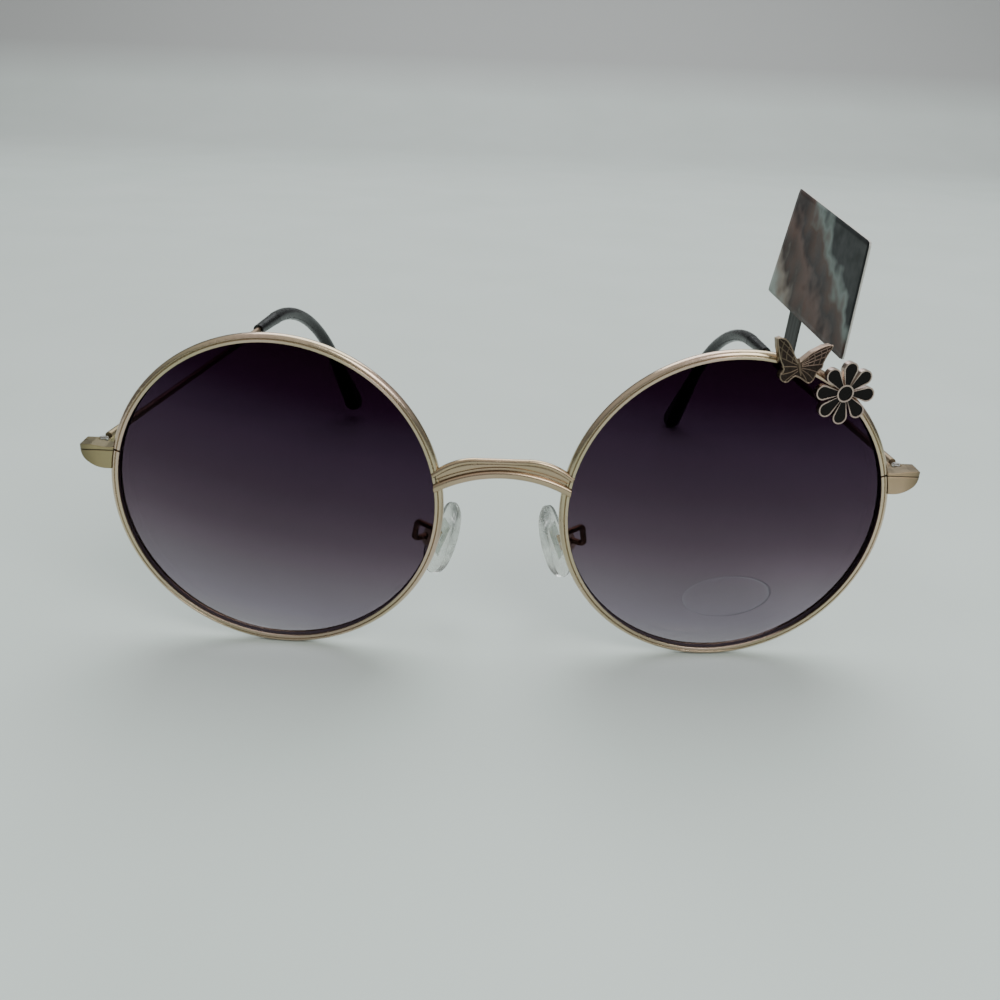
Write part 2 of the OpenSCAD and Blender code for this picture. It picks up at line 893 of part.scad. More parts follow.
module pad_screw(side) {
  color(steel)
    on_side(side)
      at_pad() {
        rod([pad_pin_at, -box_half_w - seat, 0], [pad_pin_at, box_half_w, 0], pad_pin_r);
        rod(
          [pad_pin_at, -box_half_w - seat - pad_pin_head_h, 0],
          [pad_pin_at, -box_half_w - seat, 0],
          pad_pin_head_r
        );
      }
}

module pad_arm(side) {
  color(gold)
    on_side(side)
      difference() {
        bent_wire([arm_root, arm_clear, arm_high, arm_low, box_back], arm_r, arm_bend_r);
        rim_room();
        at_pad()
          translate([box_start, -box_half_w - seat, -box_half_h - seat])
            cube([box_end - box_start + seat, 2 * box_half_w + 2 * seat, 2 * box_half_h + 2 * seat]);
      }
}

// The frame of a charm on the front of the right rim
module on_rim_front(at) {
  centred()
    in_rim()
      rotate([0, 0, at])
        translate([charm_r, 0, charm_seat])
          rotate([0, charm_lean, -at])
            children();
}

// The flower's outline, drawn in by an inset
module flower_outline(inset) {
  for (i = [0 : petals - 1])
    rotate([0, 0, flower_turn + i * 360 / petals - 90])
      translate([0, flower_d / 2 - petal_tip_r])
        rotate([0, 0, 180])
          drop(petal_tip_r - inset, petal_root_r, petal_len);
}

// The room of the right rim and lens behind a charm
module charm_cuts() {
  centred() {
    rim_room();
    in_rim()
      translate([0, 0, lens_centre])
        sphere(r = lens_curve_r + seat, $fn = 180);
  }
}

module flower_casting() {
  color(gold)
    difference() {
      on_rim_front(flower_at)
        difference() {
          linear_extrude(charm_t) {
            flower_outline(0);
            circle(r = flower_eye_r + cell_wall);
          }
          translate([0, 0, charm_t - enamel_depth])
            linear_extrude(enamel_depth + past) {
              difference() {
                flower_outline(cell_wall - seat);
                circle(r = flower_eye_r + cell_wall);
              }
              circle(r = flower_eye_r);
            }
        }
      charm_cuts();
    }
}

module flower_enamel() {
  color(gloss_black)
    on_rim_front(flower_at)
      translate([0, 0, charm_t - enamel_depth + seat])
        linear_extrude(enamel_t) {
          difference() {
            flower_outline(cell_wall);
            circle(r = flower_eye_r + cell_wall + seat);
          }
          circle(r = flower_eye_r - seat);
        }
}

// A straight bar in the plane from one point to another
module bar(from, to, width) {
  along = to - from;
  translate(from)
    rotate([0, 0, atan2(along[1], along[0])])
      translate([0, -width / 2])
        square([norm(along), width]);
}

// The cells of the butterfly's wings between its veins and body, drawn in by an inset
module wing_cells(inset) {
  difference() {
    offset(delta = -cell_wall - inset)
      polygon(wings);
    for (vein = veins)
      bar(vein[0], vein[1], vein_w + 2 * inset);
    bar(body_low, body_high, body_w + 2 * inset);
  }
}

module butterfly_casting() {
  color(gold)
    difference() {
      on_rim_front(butterfly_at)
        scale(butterfly_scale)
          difference() {
            linear_extrude(charm_t)
              polygon(wings);
            translate([0, 0, charm_t - enamel_depth])
              linear_extrude(enamel_depth + past)
                wing_cells(0);
          }
      on_rim_front(flower_at)
        translate([0, 0, -past])
          linear_extrude(charm_t + 2 * past)
            circle(r = flower_d / 2 + seat);
      charm_cuts();
    }
}

module butterfly_enamel() {
  color(gloss_black)
    difference() {
      on_rim_front(butterfly_at)
        scale(butterfly_scale)
          translate([0, 0, charm_t - enamel_depth + seat])
            linear_extrude(enamel_t)
              wing_cells(seat);
      on_rim_front(flower_at)
        translate([0, 0, -past])
          linear_extrude(charm_t + 2 * past)
            circle(r = flower_d / 2 + 2 * seat);
    }
}

module lens_sticker() {
  color(clear_film)
    centred()
      in_rim()
        difference() {
          intersection() {
            translate([0, 0, lens_centre])
              sphere(r = lens_curve_r + seat + sticker_t, $fn = 180);
            translate([sticker_x, sticker_z, 0])
              rotate([0, 0, sticker_tilt])
                linear_extrude(lens_front + past)
                  polygon([
                    for (i = [0 : film_points - 1])
                      [sticker_w * cos(i * 360 / film_points), sticker_h * sin(i * 360 / film_points)] / 2
                  ]);
          }
          translate([0, 0, lens_centre])
            sphere(r = lens_curve_r + seat, $fn = 180);
        }
}

// The tag's frame on the right temple wire: X outwards, Y along the wire, Z up the card
module at_strap() {
  centred()
    along_wire(pose_right)
      translate([0, strap_at, 0])
        rotate([0, card_lean, 0])
          children();
}

module tag_card() {
  color(tag_grey)
    at_strap()
      translate([0, card_shift, card_gap])
        rotate([card_tilt, 0, 0])
          translate([-card_t, 0, 0])
            rotate([90, 0, 90])
              linear_extrude(card_t)
                card_outline();
}

// The card's outline, with its bottom edge on the X axis and small round corners
module card_outline() {
  for (x = [-1, 1], y = [0, 1])
    translate([x * (card_w / 2 - card_corner_r), card_corner_r + y * (card_h - 2 * card_corner_r)])
      circle(r = card_corner_r);
  translate([-card_w / 2 + card_corner_r, 0])
    square([card_w - 2 * card_corner_r, card_h]);
  translate([-card_w / 2, card_corner_r])
    square([card_w, card_h - 2 * card_corner_r]);
}

module tag_strap() {
  color(strap_grey)
    at_strap()
      difference() {
        union() {
          rod([0, -strap_w / 2, 0], [0, strap_w / 2, 0], loop_out_r);
          translate([seat, -strap_w / 2, 0])
            cube([strap_t, strap_w, card_gap + strap_lap]);
        }
        rod([0, -strap_w, 0], [0, strap_w, 0], loop_r);
      }
}

rim(-1);  // rim_left
rim(1);  // rim_right
lens(-1);  // lens_left
lens(1);  // lens_right
bridge();
end_piece(-1);  // end_piece_left
end_piece(1);  // end_piece_right
closing_block(-1);  // closing_block_left
closing_block(1);  // closing_block_right
rim_screw(-1);  // rim_screw_left
rim_screw(1);  // rim_screw_right
hinge_screw(-1);  // hinge_screw_left
hinge_screw(1);  // hinge_screw_right
temple_hinge(-1, pose_left);  // temple_hinge_left
temple_hinge(1, pose_right);  // temple_hinge_right
temple_wire(-1, pose_left);  // temple_wire_left
temple_wire(1, pose_right);  // temple_wire_right
tip_sleeve(-1, pose_left);  // tip_sleeve_left
tip_sleeve(1, pose_right);  // tip_sleeve_right
pad_arm(-1);  // pad_arm_left
pad_arm(1);  // pad_arm_right
pad_box(-1);  // pad_box_left
pad_box(1);  // pad_box_right
pad_screw(-1);  // pad_screw_left
pad_screw(1);  // pad_screw_right
pad_insert(-1);  // pad_insert_left
pad_insert(1);  // pad_insert_right
nose_pad(-1);  // nose_pad_left
nose_pad(1);  // nose_pad_right
flower_casting();
flower_enamel();
butterfly_casting();
butterfly_enamel();
lens_sticker();
tag_card();
tag_strap();
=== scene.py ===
"""Looks of round wire sunglasses with two enamelled charms and a hang tag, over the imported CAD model."""

import logging
import math
from collections.abc import Iterable, Sequence
from dataclasses import dataclass, field
from enum import Enum

import bmesh
import bpy
import numpy as np
from bmesh.types import BMesh, BMVert
from bpy.types import ID, Material, Node, NodeSocket, Object, World
from mathutils import Matrix, Vector

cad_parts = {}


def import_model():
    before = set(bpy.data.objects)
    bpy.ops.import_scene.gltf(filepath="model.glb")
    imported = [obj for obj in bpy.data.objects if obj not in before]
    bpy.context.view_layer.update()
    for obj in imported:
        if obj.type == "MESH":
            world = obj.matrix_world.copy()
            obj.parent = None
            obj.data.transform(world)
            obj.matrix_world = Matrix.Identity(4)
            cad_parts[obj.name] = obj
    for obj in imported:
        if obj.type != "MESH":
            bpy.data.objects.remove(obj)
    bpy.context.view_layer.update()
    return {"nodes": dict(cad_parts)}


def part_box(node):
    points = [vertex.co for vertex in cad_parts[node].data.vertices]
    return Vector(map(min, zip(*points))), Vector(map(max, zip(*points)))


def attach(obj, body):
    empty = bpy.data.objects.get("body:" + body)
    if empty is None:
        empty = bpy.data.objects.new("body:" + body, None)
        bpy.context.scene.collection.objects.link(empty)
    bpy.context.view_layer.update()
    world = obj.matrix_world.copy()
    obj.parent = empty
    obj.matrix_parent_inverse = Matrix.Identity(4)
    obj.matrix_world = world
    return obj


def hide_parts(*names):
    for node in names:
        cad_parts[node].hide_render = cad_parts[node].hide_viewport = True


log = logging.getLogger("sunglasses")

MM = 0.001

# The middle of each lens: half of 52 mm lens width and 20 mm bridge width, and its height over the table.
LENS_X_MM = 36.0
LENS_Z_MM = 26.85

# Noise seldom leaves the span from low to high. A wave texture of scale 1 repeats after its period.
NOISE_LOW = 0.3
NOISE_HIGH = 0.7
WAVE_PERIOD = math.pi / 10

Spot = tuple[float, float]
Place = tuple[float, float, float]
Stops = tuple[tuple[float, str], ...]


class Side(Enum):
    """The two sides as seen from the front, with the sign of X on each."""

    LEFT = -1
    RIGHT = 1

    @property
    def word(self) -> str:
        """The side's word in the node names."""
        return self.name.lower()


def linear(colour: str) -> tuple[float, float, float, float]:
    """Turns an sRGB hex colour to linear values.

    Args:
        colour: Six hex digits, such as "E3CFA4".

    Returns:
        Linear red, green and blue, with alpha 1.
    """
    parts = [int(colour[i : i + 2], 16) / 255 for i in (0, 2, 4)]
    red, green, blue = (p / 12.92 if p <= 0.04045 else ((p + 0.055) / 1.055) ** 2.4 for p in parts)
    return red, green, blue, 1.0


def add_object(name: str, data: ID) -> Object:
    """Adds an object to the scene.

    Args:
        name: Its name.
        data: Its mesh, lamp or camera data.

    Returns:
        The object.
    """
    made = bpy.data.objects.new(name, data)
    bpy.context.scene.collection.objects.link(made)
    return made


def smooth_path(points: Sequence[Spot], steps: int, closed: bool) -> list[Spot]:
    """Runs a smooth curve through points.

    Args:
        points: The points, in order.
        steps: Pieces between two points.
        closed: Whether the curve comes back to its start.

    Returns:
        The curve's points.
    """
    count = len(points)
    spans = count if closed else count - 1
    path = []
    for i in range(spans):
        picks = [i - 1, i, i + 1, i + 2]
        near = [points[k % count] if closed else points[min(max(k, 0), count - 1)] for k in picks]
        for step in range(steps):
            t = step / steps
            weights = (
                (-t + 2 * t**2 - t**3) / 2,
                (2 - 5 * t**2 + 3 * t**3) / 2,
                (t + 4 * t**2 - 3 * t**3) / 2,
                (t**3 - t**2) / 2,
            )
            path.append(tuple(sum(w * p[k] for w, p in zip(weights, near)) for k in (0, 1)))
    if not closed:
        path.append(tuple(points[-1]))
    return path


def skin(made: BMesh, rings: Sequence[Sequence[BMVert]], closed: bool) -> None:
    """Joins rings of points with faces.

    Args:
        made: The mesh that the points belong to.
        rings: The rings, in order, each with as many points as the others.
        closed: Whether the last ring joins the first. Otherwise a face caps each end.
    """
    count = len(rings[0])
    pairs = list(zip(rings, rings[1:]))
    if closed:
        pairs.append((rings[-1], rings[0]))
    for one, other in pairs:
        for k in range(count):
            made.faces.new((one[k], one[(k + 1) % count], other[(k + 1) % count], other[k]))
    if not closed:
        made.faces.new(rings[0])
        made.faces.new(rings[-1])


@dataclass
class Look:
    """The nodes of one material or of the surround, with the material's main shader."""

    owner: Material | World
    shader: Node | None = None

    def __post_init__(self) -> None:
        """Starts from an empty tree."""
        self.owner.use_nodes = True
        self.owner.node_tree.nodes.clear()

    def add(
        self,
        kind: str,
        values: dict[str | int, object] | None = None,
        links: dict[str | int, NodeSocket] | None = None,
        stops: Stops = (),
        out: str = "",
        **settings: object,
    ) -> NodeSocket | None:
        """Adds one node with its settings and links.

        Args:
            kind: The shader node's type name, such as Math.
            values: Values of the node's inputs, by name or place.
            links: Output sockets to join to the node's inputs, by name or place.
            stops: For a colour ramp, places from 0 to 1 with the hex colour at each, in order.
            out: The output that is wanted, if not the first one in use.
            **settings: The node's own properties.

        Returns:
            The output, or None for a node that has none.
        """
        node = self.owner.node_tree.nodes.new(f"ShaderNode{kind}")
        for name, value in settings.items():
            setattr(node, name, value)
        for key, value in (values or {}).items():
            node.inputs[key].default_value = value
        for key, socket in (links or {}).items():
            self.owner.node_tree.links.new(socket, node.inputs[key])
        if stops:
            ramp = node.color_ramp
            while len(ramp.elements) < len(stops):
                ramp.elements.new(0.5)
            for element, (place, colour) in zip(ramp.elements, stops):
                element.position = place
                element.color = linear(colour)
        return node.outputs[out] if out else next((s for s in node.outputs if s.enabled), None)

    def feed(self, name: str, socket: NodeSocket) -> None:
        """Joins a socket to one of the shader's inputs."""
        self.owner.node_tree.links.new(socket, self.shader.inputs[name])

    def grain(self, period_mm: float, detail: float = 2.0, span: Spot | None = None) -> NodeSocket:
        """Adds noise whose patches have a real size.

        Args:
            period_mm: The distance from patch to patch, in millimetres.
            detail: How many finer layers the noise has.
            span: What the noise's usual low and high become. Without it the noise runs from 0 to 1.

        Returns:
            The noise value.
        """
        scale = 1 / (period_mm * MM)
        where = self.add("TexCoord", out="Object")
        noise = self.add("TexNoise", {"Scale": scale, "Detail": detail}, {"Vector": where})
        if span is None:
            return noise
        ends = {"From Min": NOISE_LOW, "From Max": NOISE_HIGH, "To Min": span[0], "To Max": span[1]}
        return self.add("MapRange", ends, {"Value": noise})


@dataclass(frozen=True)
class Finish:
    """A finish: one real material and how its surface was made.

    Where a finish is worn unevenly, its roughness wanders between the two shares of it in uneven. Its fine
    relief stands relief_mm high.
    """

    name: str
    colour: str
    roughness: float = 0.3
    metallic: float = 0.0
    ior: float = 1.5
    uneven: Spot = (0.8, 1.3)
    relief_mm: float = 0.01

    def look(self) -> Look:
        """Starts the material with its shader, to which each kind of finish adds its own nodes.

        Returns:
            The material's nodes. A metal keeps the shader's own IOR.
        """
        look = Look(bpy.data.materials.new(self.name))
        look.owner.diffuse_color = linear(self.colour)
        values = {"Base Color": linear(self.colour), "Roughness": self.roughness, "Metallic": self.metallic}
        surface = look.add("BsdfPrincipled", values)
        look.add("OutputMaterial", links={"Surface": surface})
        look.shader = surface.node
        if not self.metallic:
            look.shader.inputs["IOR"].default_value = self.ior
        return look

    def wear(self, look: Look, period_mm: float, detail: float = 2.0) -> None:
        """Lets the roughness wander in patches of a real size.

        Args:
            look: The material's nodes.
            period_mm: The distance from patch to patch, in millimetres.
            detail: How many finer layers the patches have.
        """
        low, high = (self.roughness * share for share in self.uneven)
        look.feed("Roughness", look.grain(period_mm, detail, (low, high)))

    def bump(self, look: Look, height: NodeSocket, round_mm: float = 0.0) -> None:
        """Raises the surface by a height value.

        Args:
            look: The material's nodes.
            height: The height, from 0 to 1, where 1 is the finish's relief.
            round_mm: How far in from an edge the shading is rounded off, in millimetres.
        """
        links = {"Height": height}
        if round_mm:
            links["Normal"] = look.add("Bevel", {"Radius": round_mm * MM}, samples=4)
        look.feed("Normal", look.add("Bump", {"Strength": 1.0, "Distance": self.relief_mm * MM}, links))

    def material(self) -> Material:
        """The finished material."""
        return self.look().owner


@dataclass(frozen=True)
class GoldPlate(Finish):
    """Thin pale gold flashed over drawn nickel silver wire, polished: a warm gloss that drifts in tone.

    Recesses darken to brown, as painted shade with some tarnishing, where less than clean_from of the
    surround is open.
    """

    metallic: float = 1.0
    uneven: Spot = (0.75, 1.5)
    relief_mm: float = 0.004
    pink: str = "C8B09F"
    olive: str = "B6AA8C"
    tarnish: str = "9A876B"
    patch_mm: float = 14.0
    drawn_mm: float = 0.35
    smear_mm: float = 3.0
    recess_mm: float = 0.35
    tarnished_to: float = 0.3
    clean_from: float = 0.85
    round_mm: float = 0.16

    def look(self) -> Look:
        """Builds the gold plate.

        Returns:
            The nodes: the tone drifts from olive to pink, with brown painted shade and tarnishing in the
                recesses,
            smears of wear, tumbled edges and fine drawing marks.
        """
        look = super().look()
        drift = look.grain(self.patch_mm, 1.0, (0.0, 1.0))
        stops = ((0.0, self.olive), (0.5, self.colour), (1.0, self.pink))
        tone = look.add("ValToRGB", links={"Fac": drift}, stops=stops)
        # Painted shade: the base colour darkens towards brown where ambient occlusion finds a recess.
        sky = look.add("AmbientOcclusion", {"Distance": self.recess_mm * MM}, out="AO", samples=6)
        ends = {"From Min": self.tarnished_to, "From Max": self.clean_from}
        unshaded = look.add("MapRange", ends, {"Value": sky})
        links = {"Factor": unshaded, "B": tone}
        look.feed("Base Color", look.add("Mix", {"A": linear(self.tarnish)}, links, data_type="RGBA"))
        self.wear(look, self.smear_mm, 3.0)
        self.bump(look, look.grain(self.drawn_mm), self.round_mm)
        return look


@dataclass(frozen=True)
class CastGold(GoldPlate):
    """Plated zinc casting: softer in its edges and a little duller than the wire."""

    pink: str = "D2BAB0"
    olive: str = "C2B4A2"
    drawn_mm: float = 0.5
    smear_mm: float = 1.5
    recess_mm: float = 0.25
    round_mm: float = 0.05


@dataclass(frozen=True)
class BlockGold(GoldPlate):
    """Gold plate on tumbled hinge blocks: soft corners, and painted dark reflection above and at the outer
    ends.
    """

    round_mm: float = 0.3
    # Painted dark reflection: the colour that faces looking up and the outer ends darken towards.
    dull: str = "5C5644"
    dull_share: float = 0.75
    up_from: float = 0.2
    up_to: float = 0.9
    end_from_mm: float = 64.4
    end_to_mm: float = 67.0

    def look(self) -> Look:
        """Builds the block's plate.

        Returns:
            The nodes: gold plate that darkens on faces that look up and towards the outer end, a painted
                dark
            reflection.
        """
        look = super().look()
        bright = look.shader.inputs["Base Color"].links[0].from_socket
        faces = look.add("SeparateXYZ", links={"Vector": look.add("TexCoord", out="Normal")}, out="Z")
        ends = {"From Min": self.up_from, "From Max": self.up_to, "To Max": self.dull_share}
        upper = look.add("MapRange", ends, {"Value": faces})
        place = look.add("SeparateXYZ", links={"Vector": look.add("TexCoord", out="Object")}, out="X")
        aside = look.add("Math", links={0: place}, operation="ABSOLUTE")
        ends = {
            "From Min": self.end_from_mm * MM,
            "From Max": self.end_to_mm * MM,
            "To Max": self.dull_share,
        }
        outer = look.add("MapRange", ends, {"Value": aside})
        either = look.add("Math", links={0: upper, 1: outer}, operation="MAXIMUM")
        links = {"Factor": either, "A": bright}
        look.feed("Base Color", look.add("Mix", {"B": linear(self.dull)}, links, data_type="RGBA"))
        return look


@dataclass(frozen=True)
class TurnedSteel(Finish):
    """Small screws turned from stainless steel: marks from the tool show on the heads."""

    metallic: float = 1.0
    relief_mm: float = 0.004
    rub_mm: float = 0.8
    ring_mm: float = 0.12

    def look(self) -> Look:
        """Builds the turned steel.

        Returns:
            The nodes, with fine tool marks and uneven shine.
        """
        look = super().look()
        self.wear(look, self.rub_mm)
        self.bump(look, look.grain(self.ring_mm, 1.0))
        return look


@dataclass(frozen=True)
class DyedLens(Finish):
    """Polished polycarbonate, dip dyed: nearly black plum at the top, pale mauve grey at the bottom.

    Light passes the front and the back, so each colour is the root of what both let through. An anti-glare
    coat leaves a small part of the bare plastic's shine. The edge's bevel is frosted and painted dark, as
    the shade between lens and rim, which draws a thin dark ring inside the rim, and the dye line may run a
    little askew.
    """

    ior: float = 1.59
    shine_left: float = 0.03
    low_mm: float = 1.0
    high_mm: float = 53.0
    ground_r_mm: float = 25.5
    ground: str = "605A5E"
    side: Side = Side.RIGHT
    askew: float = 0.0
    stops: Stops = (
        (0.0, "D0CCD0"),
        (0.12, "C0B9C1"),
        (0.25, "B1A9B0"),
        (0.33, "A69BA4"),
        (0.41, "978B95"),
        (0.56, "857784"),
        (0.70, "7B6B7C"),
        (0.79, "6D5C6F"),
        (0.87, "5C435B"),
        (1.0, "4F3149"),
    )

    def look(self) -> Look:
        """Builds the lens.

        Returns:
            The nodes: a graded tint that lets light through, with a frosted bevel painted dark as shade,
                under a coat.
        """
        look = super().look()
        place = look.add("SeparateXYZ", links={"Vector": look.add("TexCoord", out="Object")}).node.outputs
        sideways = look.add("Math", {1: self.askew}, {0: place["X"]}, operation="MULTIPLY")
        level = look.add("Math", links={0: place["Z"], 1: sideways}, operation="ADD")
        lean = self.askew * self.side.value * LENS_X_MM
        ends = {"From Min": (self.low_mm + lean) * MM, "From Max": (self.high_mm + lean) * MM}
        rise = look.add("MapRange", ends, {"Value": level})
        tint = look.add("ValToRGB", links={"Fac": rise}, stops=self.stops)
        see = look.add("BsdfTransparent", links={"Color": tint})
        shine = look.add("BsdfGlossy", {"Color": linear("FFFFFF"), "Roughness": self.roughness})
        mirror = look.add("Fresnel", {"IOR": self.ior})
        left = look.add("Math", {1: self.shine_left}, {0: mirror}, operation="MULTIPLY")
        clear = look.add("MixShader", links={0: left, 1: see, 2: shine})
        aside = look.add("Math", links={0: place["X"]}, operation="ABSOLUTE")
        around = look.add("CombineXYZ", links={"X": aside, "Z": place["Z"]})
        axis = (LENS_X_MM * MM, 0, LENS_Z_MM * MM)
        reach = look.add("VectorMath", {1: axis}, {0: around}, operation="DISTANCE")
        on_bevel = look.add("Math", {1: self.ground_r_mm * MM}, {0: reach}, operation="GREATER_THAN")
        # Painted shade: the bevel's dark colour stands for the shadow between lens and rim.
        frost = look.add("BsdfDiffuse", {"Color": linear(self.ground)})
        whole = look.add("MixShader", links={0: on_bevel, 1: clear, 2: frost})
        tree = look.owner.node_tree
        output = next(n for n in tree.nodes if n.type == "OUTPUT_MATERIAL")
        tree.links.new(whole, output.inputs["Surface"])
        tree.nodes.remove(look.shader)
        return look


@dataclass(frozen=True)
class ClearMoulding(Finish):
    """Clear silicone or nylon, injection moulded and tumbled: a frosted body with faint flow marks."""

    ior: float = 1.41
    uneven: Spot = (0.6, 1.6)
    relief_mm: float = 0.006
    flow_mm: float = 2.5

    def look(self) -> Look:
        """Builds the clear moulding.

        Returns:
            The nodes, which let light through and have a faint flow pattern in their gloss.
        """
        look = super().look()
        look.shader.inputs["Transmission Weight"].default_value = 1.0
        self.wear(look, self.flow_mm)
        self.bump(look, look.grain(self.flow_mm, 0.0))
        return look


@dataclass(frozen=True)
class GlossBlack(Finish):
    """Black ABS, moulded and tumbled glossy, or stoved enamel: a rippled shine with fine rub marks."""

    uneven: Spot = (0.7, 1.5)
    ripple_mm: float = 3.0

    def look(self) -> Look:
        """Builds the glossy black.

        Returns:
            The nodes, with a soft ripple and rubbed patches.
        """
        look = super().look()
        self.wear(look, self.ripple_mm / 2, 3.0)
        self.bump(look, look.grain(self.ripple_mm, 1.0))
        return look


@dataclass(frozen=True)
class ClearFilm(Finish):
    """Clear polyester film sticker: a barely seen veil, with a thin dim line round its cut edge.

    The line runs between two shares of the way from the oval's middle to its edge.
    """

    uneven: Spot = (0.6, 1.4)
    line_shade: str = "3A3446"
    veil: float = 0.012
    line: float = 0.3
    middle_mm: Place = (37.5, 0.0, 12.85)
    tilt_deg: float = 3.7
    half_w_mm: float = 7.4
    half_h_mm: float = 4.1
    line_from: float = 0.93
    line_to: float = 0.99
    cloud_mm: float = 2.0

    def look(self) -> Look:
        """Builds the film.

        Returns:
            The nodes, nearly all see-through, with a soft cloud in the veil.
        """
        look = super().look()
        where = look.add("TexCoord", out="Object")
        middle = tuple(v * MM for v in self.middle_mm)
        moved = look.add("VectorMath", {1: middle}, {0: where}, operation="SUBTRACT")
        tilt = {"Angle": math.radians(self.tilt_deg)}
        turned = look.add("VectorRotate", tilt, {"Vector": moved}, rotation_type="Y_AXIS")
        scale = (1 / (self.half_w_mm * MM), 0, 1 / (self.half_h_mm * MM))
        oval = look.add("VectorMath", {1: scale}, {0: turned}, operation="MULTIPLY")
        reach = look.add("VectorMath", links={0: oval}, operation="LENGTH")
        ends = {"From Min": self.line_from, "From Max": self.line_to}
        rim = look.add("MapRange", ends, {"Value": reach})
        shades = {"A": linear(self.colour), "B": linear(self.line_shade)}
        look.feed("Base Color", look.add("Mix", shades, {"Factor": rim}, data_type="RGBA"))
        drawn = look.add("Math", {1: self.line}, {0: rim}, operation="MULTIPLY")
        low, high = (self.veil * share for share in self.uneven)
        cloud = look.grain(self.cloud_mm, span=(low, high))
        look.feed("Alpha", look.add("Math", links={0: drawn, 1: cloud}, operation="ADD"))
        return look


@dataclass(frozen=True)
class PrintedBoard(Finish):
    """Coated paperboard, offset printed with soft slanting clouds of brown, rose, sage and charcoal."""

    slant: Place = (0.55, 0.45, 0.0)
    cloud_mm: float = 6.0
    drift: float = 0.16
    coat_mm: float = 3.0
    tooth_mm: float = 0.4
    stops: Stops = (
        (0.0, "949C96"),
        (0.14, "857A70"),
        (0.24, "33251F"),
        (0.36, "5E453D"),
        (0.46, "2A1F20"),
        (0.56, "513C34"),
        (0.64, "7A8581"),
        (0.71, "1E2224"),
        (1.0, "171A1A"),
    )

    def look(self) -> Look:
        """Builds the printed board.

        Returns:
            The nodes: the print's colours run aslant, with uneven ink and a coated sheen.
        """
        look = super().look()
        layout = look.add("TexCoord", out="UV")
        aslant = look.add("VectorMath", {1: self.slant}, {0: layout}, operation="DOT_PRODUCT")
        cloud = look.grain(self.cloud_mm, span=(-self.drift / 2, self.drift / 2))
        run = look.add("Math", links={0: aslant, 1: cloud}, operation="ADD")
        look.feed("Base Color", look.add("ValToRGB", links={"Fac": run}, stops=self.stops))
        self.wear(look, self.coat_mm)
        self.bump(look, look.grain(self.tooth_mm))
        return look


@dataclass(frozen=True)
class BareBoard(Finish):
    """The uncoated back and cut edges of the paperboard: pale, matte and fibrous."""

    relief_mm: float = 0.02
    fibre_mm: float = 0.5
    fibre: str = "C3C2BC"

    def look(self) -> Look:
        """Builds the bare board.

        Returns:
            The nodes, with fibres in the tone and relief.
        """
        look = super().look()
        fibres = look.grain(self.fibre_mm, 3.0, (0.0, 1.0))
        stops = ((0.0, self.colour), (1.0, self.fibre))
        look.feed("Base Color", look.add("ValToRGB", links={"Fac": fibres}, stops=stops))
        self.bump(look, fibres)
        return look


@dataclass(frozen=True)
class MatteStrap(Finish):
    """Grey polypropylene strap, extruded: a dull ribbed face.

    Such ribs are about 0.5 mm apart. That is too fine to show here, so they are drawn three times as wide.
    """

    relief_mm: float = 0.03
    rib_mm: float = 1.57
    waver: float = 0.4

    def look(self) -> Look:
        """Builds the strap's plastic.

        Returns:
            The nodes, with fine ribs and a dull sheen.
        """
        look = super().look()
        where = look.add("TexCoord", out="Object")
        values = {"Scale": WAVE_PERIOD / (self.rib_mm * MM), "Distortion": self.waver}
        self.bump(look, look.add("TexWave", values, {"Vector": where}, out="Fac", bands_direction="Y"))
        return look


@dataclass(frozen=True)
class PaleFloor(Finish):
    """Matte pale laminate: faintly uneven, with painted shade that greys it towards the wall far behind."""

    pale: str = "CFDAD5"
    cloud_mm: float = 60.0
    # Painted shade: the colour the floor turns to up the wall and, by depth_shade, further back.
    wall: str = "9E9F9E"
    wall_from_m: float = 0.0
    wall_to_m: float = 0.09
    near_m: float = -0.1
    far_m: float = 0.9
    depth_shade: Stops = ((0.0, "000000"), (0.2, "818181"), (0.7, "999999"), (1.0, "C0C0C0"))

    def look(self) -> Look:
        """Builds the floor and the wall.

        Returns:
            The nodes: painted shade, a little darker behind the glasses, and darker still up the wall.
        """
        look = super().look()
        cloud = look.grain(self.cloud_mm, span=(0.0, 1.0))
        stops = ((0.0, self.colour), (1.0, self.pale))
        tone = look.add("ValToRGB", links={"Fac": cloud}, stops=stops)
        place = look.add("SeparateXYZ", links={"Vector": look.add("TexCoord", out="Object")}).node.outputs
        ends = {"From Min": self.wall_from_m, "From Max": self.wall_to_m}
        up = look.add("MapRange", ends, {"Value": place["Z"]})
        ends = {"From Min": self.near_m, "From Max": self.far_m}
        back = look.add("MapRange", ends, {"Value": place["Y"]})
        depth = look.add("ValToRGB", links={"Fac": back}, stops=self.depth_shade)
        shaded = look.add("Math", links={0: up, 1: depth}, operation="MAXIMUM")
        links = {"Factor": shaded, "A": tone}
        look.feed("Base Color", look.add("Mix", {"B": linear(self.wall)}, links, data_type="RGBA"))
        return look


# Each IOR and roughness starts from the material's usual value and is matched to the object in this light.

# The eyewires and pad boxes: a bright, warm edge that picks up the lamps.
GOLD = GoldPlate("polished_pale_gold_plate", "C0AE95", 0.2)
# The bridge: like the eyewires but a little darker, with dark brown painted shade in its grooves.
BRIDGE_GOLD = GoldPlate(
    "pale_gold_plate_shaded_grooves", "B69F87", 0.2, pink="BFA391", olive="AD9C7F", tarnish="4A3624", recess_mm=0.6
)
# The hinge blocks: a low shine, greener on the left and rosier on the right, with painted dark reflection.
BLOCK_GOLD = {
    Side.LEFT: BlockGold("tumbled_olive_gold_plate", "9F926E", 0.36, pink="A69774", olive="928660"),
    Side.RIGHT: BlockGold("tumbled_rose_gold_plate", "AF977B", 0.36, pink="B69A84", olive="A69272"),
}
